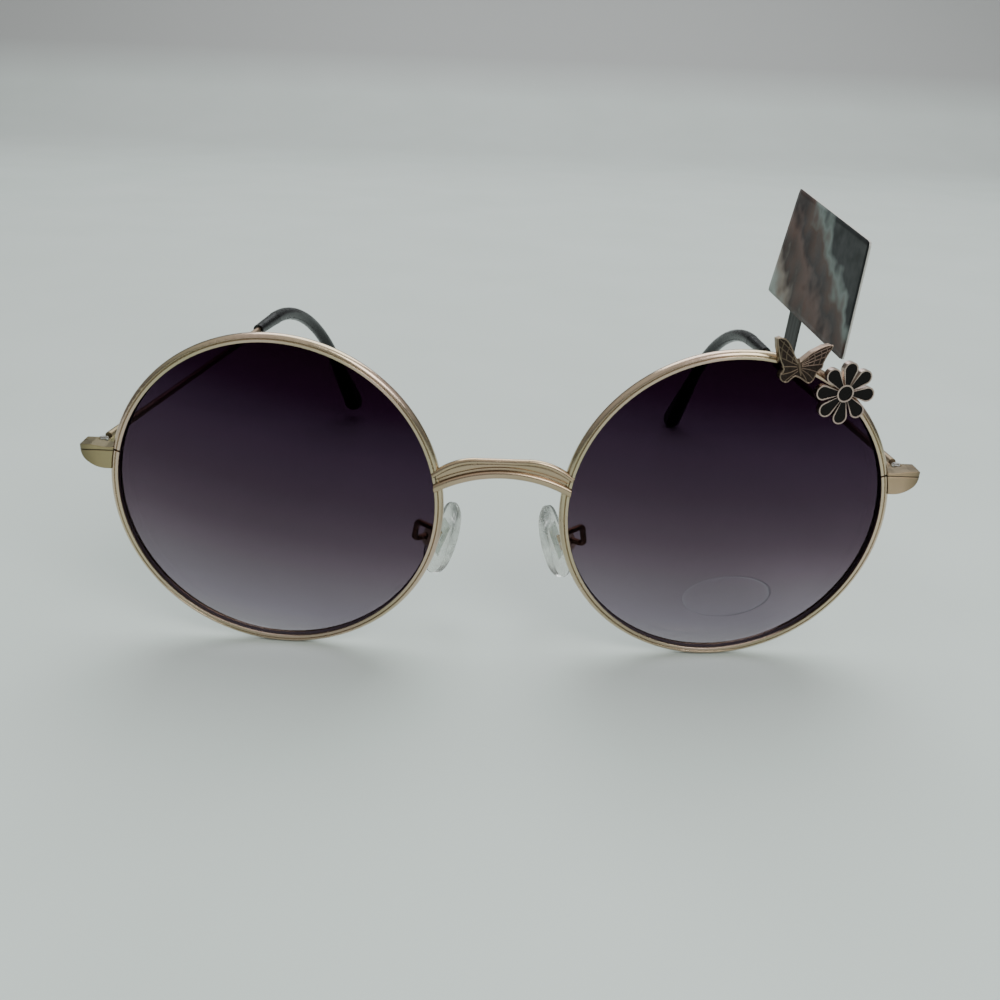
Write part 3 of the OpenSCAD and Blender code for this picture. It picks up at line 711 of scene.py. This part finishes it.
# The temple wires: a darker, rougher copy of the plate, so they stay dim behind the lenses.
WIRE_GOLD = GoldPlate("drawn_dull_gold_wire", "8E7E66", 0.4, pink="94806C", olive="887C60")
# The pad arms: painted dark brown for the shade they stand in behind the lenses.
ARM_GOLD = GoldPlate("shaded_brown_gold_plate", "80654F", 0.34, pink="866550", olive="78644C")
# The flower: a pale rosy outline round the enamel.
CAST = CastGold("cast_pale_gold_plate", "A9988E", 0.26, pink="B09A91", olive="A29688")
# The butterfly: the same casting, antiqued darker.
WING_CAST = CastGold("cast_antiqued_plate", "8C7C6C", 0.32, pink="937E70", olive="847764")
# The butterfly's veins and body: oxidised, so they show as fine brown lines.
VEIN = CastGold("oxidised_cast_plate", "6E5F50", 0.4, pink="75625A", olive="5E5648")
# The screws: small grey glints.
STEEL = TurnedSteel("turned_stainless_steel", "C4C1BA", 0.28)
# The inserts in the pads: hardly seen in the silicone round them.
INSERT = ClearMoulding("clear_moulded_nylon", "EEF2F0", 0.3, ior=1.2)
# The lenses: the left one's dye line lies more askew.
LENS = {
    Side.LEFT: DyedLens("dip_dyed_polycarbonate_left", "2A1D2E", 0.02, side=Side.LEFT, askew=0.2),
    Side.RIGHT: DyedLens("dip_dyed_polycarbonate_right", "2A1D2E", 0.02, side=Side.RIGHT, askew=0.05),
}
# The nose pads: clear and faintly milky.
PAD = ClearMoulding("clear_moulded_silicone", "E9EAE5", 0.2)
# The tips: black with soft long highlights.
TIP = GlossBlack("glossy_black_moulded_abs", "08090B", 0.22, ior=1.36)
# The charms' enamel: deep black with hardly a highlight.
ENAMEL = GlossBlack("black_stoved_enamel", "0A0504", 0.2, ior=1.22, ripple_mm=1.2)
# The butterfly's cells: a dark warm brown.
GLAZE = GlossBlack("dark_brown_glaze", "22160E", 0.25, ior=1.25, ripple_mm=0.8)
# The lens sticker: only its edge shows.
FILM = ClearFilm("clear_polyester_film", "C4C8D4", 0.3)
# The card's printed face: dark clouds under a soft sheen.
BOARD = PrintedBoard("offset_printed_board", "5A5250", 0.4, ior=1.3)
# The card's back and edges: matte and off-white.
BOARD_BACK = BareBoard("uncoated_board", "CFCEC8", 0.8)
# The strap: dark grey, with a dull sheen on its ribs.
STRAP = MatteStrap("ribbed_polypropylene", "21221E", 0.55)
# The table and the wall behind it: pale, cool and matte.
FLOOR = PaleFloor("pale_laminate", "C9D5CF", 0.6)


@dataclass
class Wardrobe:
    """Keeps one built material for each finish and puts them on the CAD nodes."""

    nodes: dict[str, Object]
    built: dict[str, Material] = field(default_factory=dict)
    crease_deg: float = 32.0

    def material(self, finish: Finish) -> Material:
        """The finish's material, built once."""
        if finish.name not in self.built:
            self.built[finish.name] = finish.material()
        return self.built[finish.name]

    def smooth(self, piece: Object) -> None:
        """Shades a piece smooth apart from its creases."""
        mesh = piece.data
        mesh.polygons.foreach_set("use_smooth", [True] * len(mesh.polygons))
        mesh.set_sharp_from_angle(angle=math.radians(self.crease_deg))

    def dress(self, names: Iterable[str], finish: Finish) -> None:
        """Gives CAD nodes a finish.

        Args:
            names: The nodes.
            finish: Their finish.
        """
        for name in names:
            piece = self.nodes[name]
            piece.data.materials.clear()
            piece.data.materials.append(self.material(finish))
            log.info("%s wears %s", name, finish.name)

    def dress_both(self, names: Iterable[str], finish: Finish) -> None:
        """Gives the left and right CAD nodes of each name a finish."""
        self.dress([f"{name}_{side.word}" for name in names for side in Side], finish)

    def piece(self, name: str, made: BMesh, finishes: Sequence[Finish], body: str, slot: str) -> Object:
        """Turns a built mesh into a piece with its finishes and body.

        Args:
            name: The piece's name.
            made: The mesh, which is freed.
            finishes: Its finishes, the main one first.
            body: The CAD body that it rides on.
            slot: The record's material slot, which is not used.

        Returns:
            The piece.
        """
        mesh = bpy.data.meshes.new(name)
        made.to_mesh(mesh)
        made.free()
        for finish in finishes:
            mesh.materials.append(self.material(finish))
        piece = add_object(name, mesh)
        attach(piece, body)
        log.info("%s is made of %s", name, finishes[0].name)
        return piece


@dataclass
class FrontMetal:
    """The rims, bridge, hinge blocks, wires and screws.

    A second bar lies under the bridge's upper rib and leaves a narrow dark groove over the lower band.
    """

    wardrobe: Wardrobe
    plated: tuple[str, ...] = ("rim", "pad_box")
    blocks: tuple[str, ...] = ("end_piece", "closing_block", "temple_hinge")
    screws: tuple[str, ...] = ("rim_screw", "hinge_screw", "pad_screw")
    rib_r_mm: float = 0.5
    shoulder_mm: float = 7.1
    shoulder_r_mm: float = 10.0
    slope_deg: float = 34.0
    bridge_h_mm: float = 3.15
    low_r_mm: float = 21.5
    band_h_mm: float = 1.3
    groove_mm: float = 0.42
    bar_half_mm: float = 10.5
    bar_t_mm: float = 0.9
    bar_root_t_mm: float = 0.5
    bulge_steps: int = 8
    steps: int = 48

    def rib_drop(self, x: float) -> float:
        """How far the rib's centre line has dropped at a distance from the middle.

        Args:
            x: The distance, in millimetres.

        Returns:
            The drop, in millimetres.
        """
        slope = math.radians(self.slope_deg)
        run = self.shoulder_r_mm * math.tan(slope / 2)
        past = abs(x) - self.shoulder_mm
        if past <= -run:
            return 0.0
        if past >= run * math.cos(slope):
            return past * math.tan(slope)
        return self.shoulder_r_mm - math.sqrt(self.shoulder_r_mm**2 - (past + run) ** 2)

    def bar(self) -> None:
        """Builds the bar under the rib."""
        low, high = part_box("bridge")
        middle_y = (low[1] + high[1]) / 2
        top = high[2]
        arch_r = self.low_r_mm + self.band_h_mm + self.groove_mm
        arch_z = top - (self.bridge_h_mm + self.low_r_mm) * MM
        made = bmesh.new()
        rings = []
        for i in range(self.steps + 1):
            x = self.bar_half_mm * (2 * i / self.steps - 1)
            roof = top - (self.rib_r_mm + self.rib_drop(x)) * MM
            arch = arch_z + math.sqrt(arch_r**2 - x**2) * MM
            spots = []
            for k in range(2 * self.bulge_steps + 2):
                front = k <= self.bulge_steps
                turn = (k if front else 2 * self.bulge_steps + 1 - k) / self.bulge_steps
                swell = (self.bar_t_mm - self.bar_root_t_mm) * math.sin(math.pi * turn)
                half = (self.bar_root_t_mm + swell) / 2 * MM
                spots.append((-half if front else half, roof + (arch - roof) * turn))
            rings.append([made.verts.new((x * MM, middle_y + y, z)) for y, z in spots])
        skin(made, rings, closed=False)
        bmesh.ops.recalc_face_normals(made, faces=made.faces)
        bar = self.wardrobe.piece("bridge_bar", made, [BRIDGE_GOLD], "front", "gold_plated_wire")
        self.wardrobe.smooth(bar)

    def build(self) -> None:
        """Dresses the plated parts and the screws, and adds the bridge's bar."""
        self.wardrobe.dress(["bridge"], BRIDGE_GOLD)
        self.wardrobe.dress_both(self.plated, GOLD)
        self.wardrobe.dress_both(["temple_wire"], WIRE_GOLD)
        self.wardrobe.dress_both(["pad_arm"], ARM_GOLD)
        for side in Side:
            self.wardrobe.dress([f"{name}_{side.word}" for name in self.blocks], BLOCK_GOLD[side])
        self.wardrobe.dress_both(self.screws, STEEL)
        self.bar()


@dataclass
class LensesAndSticker:
    """The dyed lenses and the clear oval film on the right one."""

    wardrobe: Wardrobe

    def build(self) -> None:
        """Dresses the lenses and the sticker."""
        for side in Side:
            self.wardrobe.dress([f"lens_{side.word}"], LENS[side])
        self.wardrobe.dress(["lens_sticker"], FILM)


@dataclass
class PlasticParts:
    """The black tips and the clear nose pads with their inserts."""

    wardrobe: Wardrobe

    def build(self) -> None:
        """Dresses the tips, the pads and the inserts."""
        self.wardrobe.dress_both(["tip_sleeve"], TIP)
        self.wardrobe.dress_both(["nose_pad"], PAD)
        self.wardrobe.dress_both(["pad_insert"], INSERT)


@dataclass
class Charms:
    """The flower and the butterfly on the right rim.

    A dark glaze floods the butterfly's cells, with oxidised veins, a body and a beaded edge on it. Its
    lines are in millimetres, in the butterfly's own frame.
    """

    wardrobe: Wardrobe
    wrap_deg: float = 3.5
    bridge_proud_mm: float = 0.5
    charm_r_mm: float = 25.95
    seat_mm: float = 0.92
    at_deg: float = 73.0
    lean_deg: float = 9.0
    charm_t_mm: float = 1.0
    glaze_inset_mm: float = 0.2
    glaze_t_mm: float = 0.05
    edge_r_mm: float = 0.125
    edge_inset_mm: float = 0.1125
    bead_mm: float = 0.45
    bead_swell: float = 0.22
    vein_r_mm: float = 0.095
    body_r_mm: float = 0.2
    body_end: float = 0.45
    body_swell: float = 0.75
    tube_sides: int = 8
    wing_steps: int = 6
    line_steps: int = 5
    wings: tuple[Spot, ...] = (
        (0.2, 0.9), (1.8, 2.2), (3.6, 3.1), (4.8, 3.3), (5.2, 3), (4.6, 1.8), (4.1, 0.6), (4, -0.2),
        (3.2, -1.1), (2.9, -2.1), (2.4, -2.6), (1.8, -2.6), (0.7, -1.9), (-0.3, -1.5), (-0.9, -1.9),
        (-1.5, -2.4), (-2.2, -2.3), (-2.8, -1.8), (-2.9, -1.1), (-2.5, -0.3), (-3.3, 1.3), (-3.9, 3),
        (-4.2, 4.4), (-3.5, 4.6), (-2.4, 4.1), (-1.3, 2.6), (-0.4, 1),
    )
    veins: tuple[tuple[Spot, ...], ...] = (
        ((0.35, 0.45), (2.2, 1.9), (4.8, 3.0)),
        ((0.4, 0.35), (2.4, 1.4), (4.8, 2.5)),
        ((0.45, 0.2), (2.4, 0.85), (4.3, 1.5)),
        ((0.45, 0.05), (2.2, 0.2), (3.9, 0.3)),
        ((1.3, 1.5), (1.5, 0.9), (1.5, 0.2)),
        ((2.2, 2.1), (2.5, 1.2), (2.4, 0.3)),
        ((3.2, 2.6), (3.5, 1.8), (3.3, 0.4)),
        ((4.1, 2.9), (4.3, 2.4), (4.1, 1.6)),
        ((0.5, -0.2), (2.0, -0.5), (3.2, -0.9)),
        ((0.5, -0.4), (1.7, -1.1), (2.7, -2.0)),
        ((0.5, -0.7), (1.2, -1.5), (1.8, -2.4)),
        ((-0.15, 0.7), (-1.7, 2.6), (-3.8, 4.3)),
        ((-0.2, 0.5), (-1.9, 1.9), (-3.8, 3.3)),
        ((-0.25, 0.3), (-1.7, 0.9), (-3.3, 1.6)),
        ((-1.0, 1.9), (-1.2, 1.2), (-1.2, 0.6)),
        ((-2.0, 3.2), (-2.3, 2.1), (-2.2, 1.1)),
        ((-3.0, 4.0), (-3.2, 2.9), (-3.1, 1.5)),
        ((-0.2, 0.0), (-1.3, 0.1), (-2.5, 0.1)),
        ((-0.1, -0.3), (-1.2, -0.8), (-2.7, -1.1)),
        ((0.0, -0.6), (-0.9, -1.3), (-1.9, -2.1)),
    )
    body: tuple[Spot, ...] = ((0.6, -1.45), (0.4, -0.8), (0.15, 0.0), (-0.1, 0.8), (-0.25, 1.35))

    def seat(self) -> Matrix:
        """Finds the butterfly's own frame on the rim, with its Z axis to the front.

        Returns:
            The matrix from millimetres in that frame to metres in the model.
        """
        low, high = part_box("bridge")
        wrap = math.radians(self.wrap_deg)
        plane_y = (low[1] + high[1]) / 2 + (LENS_Z_MM * math.sin(wrap) + self.bridge_proud_mm) * MM
        at = math.radians(self.at_deg)
        return (
            Matrix.Translation((LENS_X_MM * MM, plane_y, LENS_Z_MM * MM))
            @ Matrix.Scale(MM, 4)
            @ Matrix.Rotation(wrap, 4, "Z")
            @ Matrix.Rotation(math.radians(90), 4, "X")
            @ Matrix.Rotation(at, 4, "Z")
            @ Matrix.Translation((self.charm_r_mm, 0, self.seat_mm))
            @ Matrix.Rotation(-at, 4, "Z")
            @ Matrix.Rotation(math.radians(self.lean_deg), 4, "Y")
        )

    def tube(self, made: BMesh, path: Sequence[Spot], radii: Sequence[float], closed: bool) -> None:
        """Adds a round wire that lies half sunk in the butterfly's face.

        Args:
            made: The mesh it is added to, in the butterfly's frame.
            path: The wire's line.
            radii: Its radius at each point.
            closed: Whether it comes back to its start.
        """
        count = len(path)
        rings = []
        for i, (x, y) in enumerate(path):
            before = path[i - 1] if closed or i else path[i]
            after = path[(i + 1) % count] if closed or i < count - 1 else path[i]
            along = Vector((after[0] - before[0], after[1] - before[1])).normalized()
            ring = []
            for k in range(self.tube_sides):
                turn = 2 * math.pi * k / self.tube_sides
                out = radii[i] * math.cos(turn)
                rise = self.charm_t_mm + radii[i] * math.sin(turn)
                ring.append(made.verts.new((x - along.y * out, y + along.x * out, rise)))
            rings.append(ring)
        skin(made, rings, closed)

    def outline(self, inset: float) -> list[Spot]:
        """The wings' smooth outline, drawn in by an inset.

        Args:
            inset: The distance, in millimetres.

        Returns:
            The outline's points, clockwise.
        """
        path = smooth_path(self.wings, self.wing_steps, closed=True)
        count = len(path)
        drawn = []
        for i, (x, y) in enumerate(path):
            along = Vector(path[(i + 1) % count]) - Vector(path[i - 1])
            inward = Vector((along.y, -along.x)).normalized() * inset
            drawn.append((x + inward.x, y + inward.y))
        return drawn

    def set_on_rim(self, made: BMesh, name: str, finish: Finish, slot: str) -> None:
        """Sets a mesh on the rim as a piece.

        Args:
            made: The mesh, in the butterfly's frame.
            name: The piece's name.
            finish: Its finish.
            slot: The record's material slot.
        """
        bmesh.ops.recalc_face_normals(made, faces=made.faces)
        made.transform(self.seat())
        self.wardrobe.smooth(self.wardrobe.piece(name, made, [finish], "front", slot))

    def glaze(self) -> None:
        """Floods the wings with glaze, up to a little inside their outline."""
        made = bmesh.new()
        over = self.charm_t_mm + self.glaze_t_mm
        under = self.charm_t_mm - self.glaze_t_mm
        top = [made.verts.new((x, y, over)) for x, y in self.outline(self.glaze_inset_mm)]
        low = [made.verts.new((v.co.x, v.co.y, under)) for v in top]
        ends = [made.faces.new(top), made.faces.new(low)]
        for i in range(len(top)):
            k = (i + 1) % len(top)
            made.faces.new((top[i], top[k], low[k], low[i]))
        bmesh.ops.triangulate(made, faces=ends)
        self.set_on_rim(made, "butterfly_glaze", GLAZE, "black_enamel")

    def relief(self) -> None:
        """Draws the veins and the body, which swells in its middle."""
        made = bmesh.new()
        for vein in self.veins:
            path = smooth_path(vein, self.line_steps, closed=False)
            self.tube(made, path, [self.vein_r_mm] * len(path), closed=False)
        path = smooth_path(self.body, self.line_steps, closed=False)
        radii = []
        for i in range(len(path)):
            swell = self.body_swell * math.sin(math.pi * i / (len(path) - 1))
            radii.append(self.body_r_mm * (self.body_end + swell))
        self.tube(made, path, radii, closed=False)
        self.set_on_rim(made, "butterfly_veins", VEIN, "gold_plated_wire")

    def edge(self) -> None:
        """Runs the beaded edge round the wings."""
        made = bmesh.new()
        path = self.outline(self.edge_inset_mm)
        walked = 0.0
        radii = []
        for i, spot in enumerate(path):
            walked += (Vector(spot) - Vector(path[i - 1])).length if i else 0.0
            swell = self.bead_swell * math.sin(2 * math.pi * walked / self.bead_mm)
            radii.append(self.edge_r_mm * (1 + swell))
        self.tube(made, path, radii, closed=True)
        self.set_on_rim(made, "butterfly_edge", WING_CAST, "gold_plated_wire")

    def build(self) -> None:
        """Dresses the castings and their enamel, and adds the butterfly's relief."""
        self.wardrobe.dress(["flower_casting"], CAST)
        self.wardrobe.dress(["butterfly_casting"], WING_CAST)
        self.wardrobe.dress(["flower_enamel", "butterfly_enamel"], ENAMEL)
        self.glaze()
        self.relief()
        self.edge()


@dataclass
class HangTag:
    """The printed card and its strap on the right temple.

    The card is a sheet of its own, twisted a little as it hangs, in the room of its flat CAD solid.
    """

    wardrobe: Wardrobe
    thick_mm: float = 0.4
    corner_mm: float = 0.18
    twist_mm: float = 1.4
    strap_along: float = 0.4
    strap_up: float = 0.12
    across: int = 36
    upward: int = 20

    def frame_of_card(self) -> tuple[Vector, Vector, Vector, float, float]:
        """Finds the card's middle and axes from its CAD solid.

        Returns:
            Its middle, the way along it to the front, the way up it, its width and its height, in metres.
        """
        points = np.array([v.co[:] for v in self.wardrobe.nodes["tag_card"].data.vertices])
        corners = points.min(axis=0), points.max(axis=0)
        middle = (corners[0] + corners[1]) / 2
        axes = np.linalg.svd(points - points.mean(axis=0), full_matrices=False)[2]
        along = Vector(axes[0]) if axes[0][1] < 0 else -Vector(axes[0])
        up = Vector(axes[1]) if axes[1][2] > 0 else -Vector(axes[1])
        reach = (points - middle) @ np.array([along[:], up[:]]).T
        size = reach.max(axis=0) - reach.min(axis=0)
        centre = middle + (reach.max(axis=0) + reach.min(axis=0)) @ np.array([along[:], up[:]]) / 2
        return Vector(centre), along, up, float(size[0]), float(size[1])

    def saddle(self, across: float, upward: float) -> float:
        """A saddle's height: 0 at two opposite corners of the card and 1 at the other two."""
        return (1 - across) * upward + across * (1 - upward)

    def twist(self, across: float, upward: float) -> float:
        """How far the twisted card stands off its flat plane, with none of it at the strap.

        Args:
            across: Place along the card, from 0 at the back to 1 at the front.
            upward: Place up the card, from 0 to 1.

        Returns:
            The distance, in metres.
        """
        at_strap = self.saddle(self.strap_along, self.strap_up)
        return self.twist_mm * MM * (self.saddle(across, upward) - at_strap)

    def sheet(self) -> BMesh:
        """Builds the twisted sheet, with a layout from edge to edge for its print.

        Returns:
            The mesh, whose faces look towards the glasses, where the print is.
        """
        middle, along, up, width, height = self.frame_of_card()
        outward = along.cross(up)
        if outward.x < 0:
            outward.negate()
        made = bmesh.new()
        layout = made.loops.layers.uv.new("print")
        rows = []
        for j in range(self.upward + 1):
            row = []
            for i in range(self.across + 1):
                a, b = i / self.across, j / self.upward
                corner = i in (0, self.across) and j in (0, self.upward)
                trim = self.corner_mm * MM if corner else 0.0
                x = (a - 0.5) * (width - 2 * trim)
                z = (b - 0.5) * (height - 2 * trim)
                row.append(made.verts.new(middle + along * x + up * z + outward * self.twist(a, b)))
            rows.append(row)
        for j in range(self.upward):
            for i in range(self.across):
                face = made.faces.new((rows[j][i], rows[j][i + 1], rows[j + 1][i + 1], rows[j + 1][i]))
                face.smooth = True
                spots = ((i, j), (i + 1, j), (i + 1, j + 1), (i, j + 1))
                for loop, (u, v) in zip(face.loops, spots):
                    loop[layout].uv = (u / self.across, v / self.upward)
        made.normal_update()
        made.faces.ensure_lookup_table()
        if made.faces[0].normal.dot(outward) > 0:
            bmesh.ops.reverse_faces(made, faces=made.faces)
        return made

    def card(self) -> None:
        """Makes the card from its sheet, with a bare back and bare edges, in place of the CAD node."""
        finishes = [BOARD, BOARD_BACK]
        card = self.wardrobe.piece("card_sheet", self.sheet(), finishes, "tag", "printed_card")
        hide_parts("tag_card")
        thick = card.modifiers.new("board", "SOLIDIFY")
        thick.thickness = self.thick_mm * MM
        thick.offset = 0.0
        thick.material_offset = 1
        thick.material_offset_rim = 1
        thick.use_even_offset = True

    def build(self) -> None:
        """Makes the card and dresses the strap."""
        self.card()
        self.wardrobe.dress(["tag_strap"], STRAP)


@dataclass(frozen=True)
class Lamp:
    """A square area lamp that faces the glasses, as a softbox does."""

    name: str
    place_m: Place
    side_m: float
    watts: float
    colour: str = "FFFFFF"
    target_m: Place = (0.0, 0.0, 0.02)

    def hang(self) -> None:
        """Adds the lamp to the scene."""
        data = bpy.data.lights.new(self.name, "AREA")
        data.size = self.side_m
        data.energy = self.watts
        data.color = linear(self.colour)[:3]
        lamp = add_object(self.name, data)
        lamp.location = self.place_m
        aim = Vector(self.target_m) - Vector(self.place_m)
        lamp.rotation_mode = "QUATERNION"
        lamp.rotation_quaternion = aim.to_track_quat("-Z", "Y")


@dataclass
class Studio:
    """The floor, the backdrop, the lamps, the soft surround and the camera."""

    camera_mm: Place = (-3.067, -204.083, 92.919)
    yaw_deg: float = 1.10
    pitch_deg: float = -23.991
    roll_deg: float = 2.335
    lens_mm: float = 36.0
    sensor_mm: float = 36.0
    near_m: float = 0.005
    far_m: float = 20.0
    floor_half_m: float = 2.0
    cove_start_m: float = 0.85
    cove_radius_m: float = 0.35
    cove_steps: int = 16
    wall_m: float = 1.2
    lamps: tuple[Lamp, ...] = (
        Lamp("overhead", (0.1, 0.6, 1.12), 1.2, 17.0, "F8FCFF"),
        Lamp("front_fill", (0.5, -0.8, 0.8), 0.6, 6.0),
    )
    sky_low: float = -0.2
    sky: Stops = ((0.0, "6E7070"), (0.17, "565859"), (0.4, "86888A"), (0.7, "C6C5C2"), (1.0, "DCDBD6"))

    def floor(self) -> None:
        """Builds the floor, which curves up into the backdrop."""
        profile = [(-self.floor_half_m, 0.0), (self.cove_start_m, 0.0)]
        for i in range(1, self.cove_steps + 1):
            turn = math.radians(90 * i / self.cove_steps)
            y = self.cove_start_m + self.cove_radius_m * math.sin(turn)
            profile.append((y, self.cove_radius_m * (1 - math.cos(turn))))
        profile.append((self.cove_start_m + self.cove_radius_m, self.cove_radius_m + self.wall_m))
        mesh = bpy.data.meshes.new("floor")
        points = [(x, y, z) for y, z in profile for x in (-self.floor_half_m, self.floor_half_m)]
        faces = [(2 * i, 2 * i + 1, 2 * i + 3, 2 * i + 2) for i in range(len(profile) - 1)]
        mesh.from_pydata(points, [], faces)
        mesh.polygons.foreach_set("use_smooth", [True] * len(mesh.polygons))
        mesh.materials.append(FLOOR.material())
        add_object("floor", mesh)

    def surround(self) -> None:
        """Builds the soft grey surround: bright overhead, darker low in front."""
        world = bpy.data.worlds.new("surround")
        look = Look(world)
        way = look.add("TexCoord", out="Generated")
        height = look.add("SeparateXYZ", links={"Vector": way}, out="Z")
        up = look.add("MapRange", {"From Min": self.sky_low, "From Max": 1.0}, {"Value": height})
        tone = look.add("ValToRGB", links={"Fac": up}, stops=self.sky)
        light = look.add("Background", {"Strength": 1.0}, {"Color": tone})
        look.add("OutputWorld", links={"Surface": light})
        bpy.context.scene.world = world

    def camera(self) -> None:
        """Sets the camera where the photograph was taken from."""
        yaw, pitch, roll = (math.radians(a) for a in (self.yaw_deg, self.pitch_deg, self.roll_deg))
        flat = math.cos(pitch)
        forward = Vector((math.sin(yaw) * flat, math.cos(yaw) * flat, math.sin(pitch)))
        level = forward.cross(Vector((0, 0, 1))).normalized()
        above = level.cross(forward)
        right = level * math.cos(roll) + above * math.sin(roll)
        up = above * math.cos(roll) - level * math.sin(roll)
        data = bpy.data.cameras.new("camera")
        data.sensor_width = self.sensor_mm
        data.lens = self.lens_mm
        data.clip_start = self.near_m
        data.clip_end = self.far_m
        camera = add_object("camera", data)
        turn = Matrix((right, up, -forward)).transposed()
        camera.matrix_world = Matrix.Translation(Vector(self.camera_mm) * MM) @ turn.to_4x4()
        bpy.context.scene.camera = camera

    def build(self) -> None:
        """Builds the studio."""
        self.camera()
        self.floor()
        self.surround()
        for lamp in self.lamps:
            lamp.hang()


def main() -> None:
    """Builds the scene in order."""
    logging.basicConfig(level=logging.INFO, format="%(message)s")
    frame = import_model()
    Studio().build()
    wardrobe = Wardrobe(frame["nodes"])
    for piece in frame["nodes"].values():
        wardrobe.smooth(piece)
    for part in (FrontMetal, LensesAndSticker, PlasticParts, Charms, HangTag):
        part(wardrobe).build()
        log.info("%s is built", part.__name__)


if __name__ == "__main__":
    main()
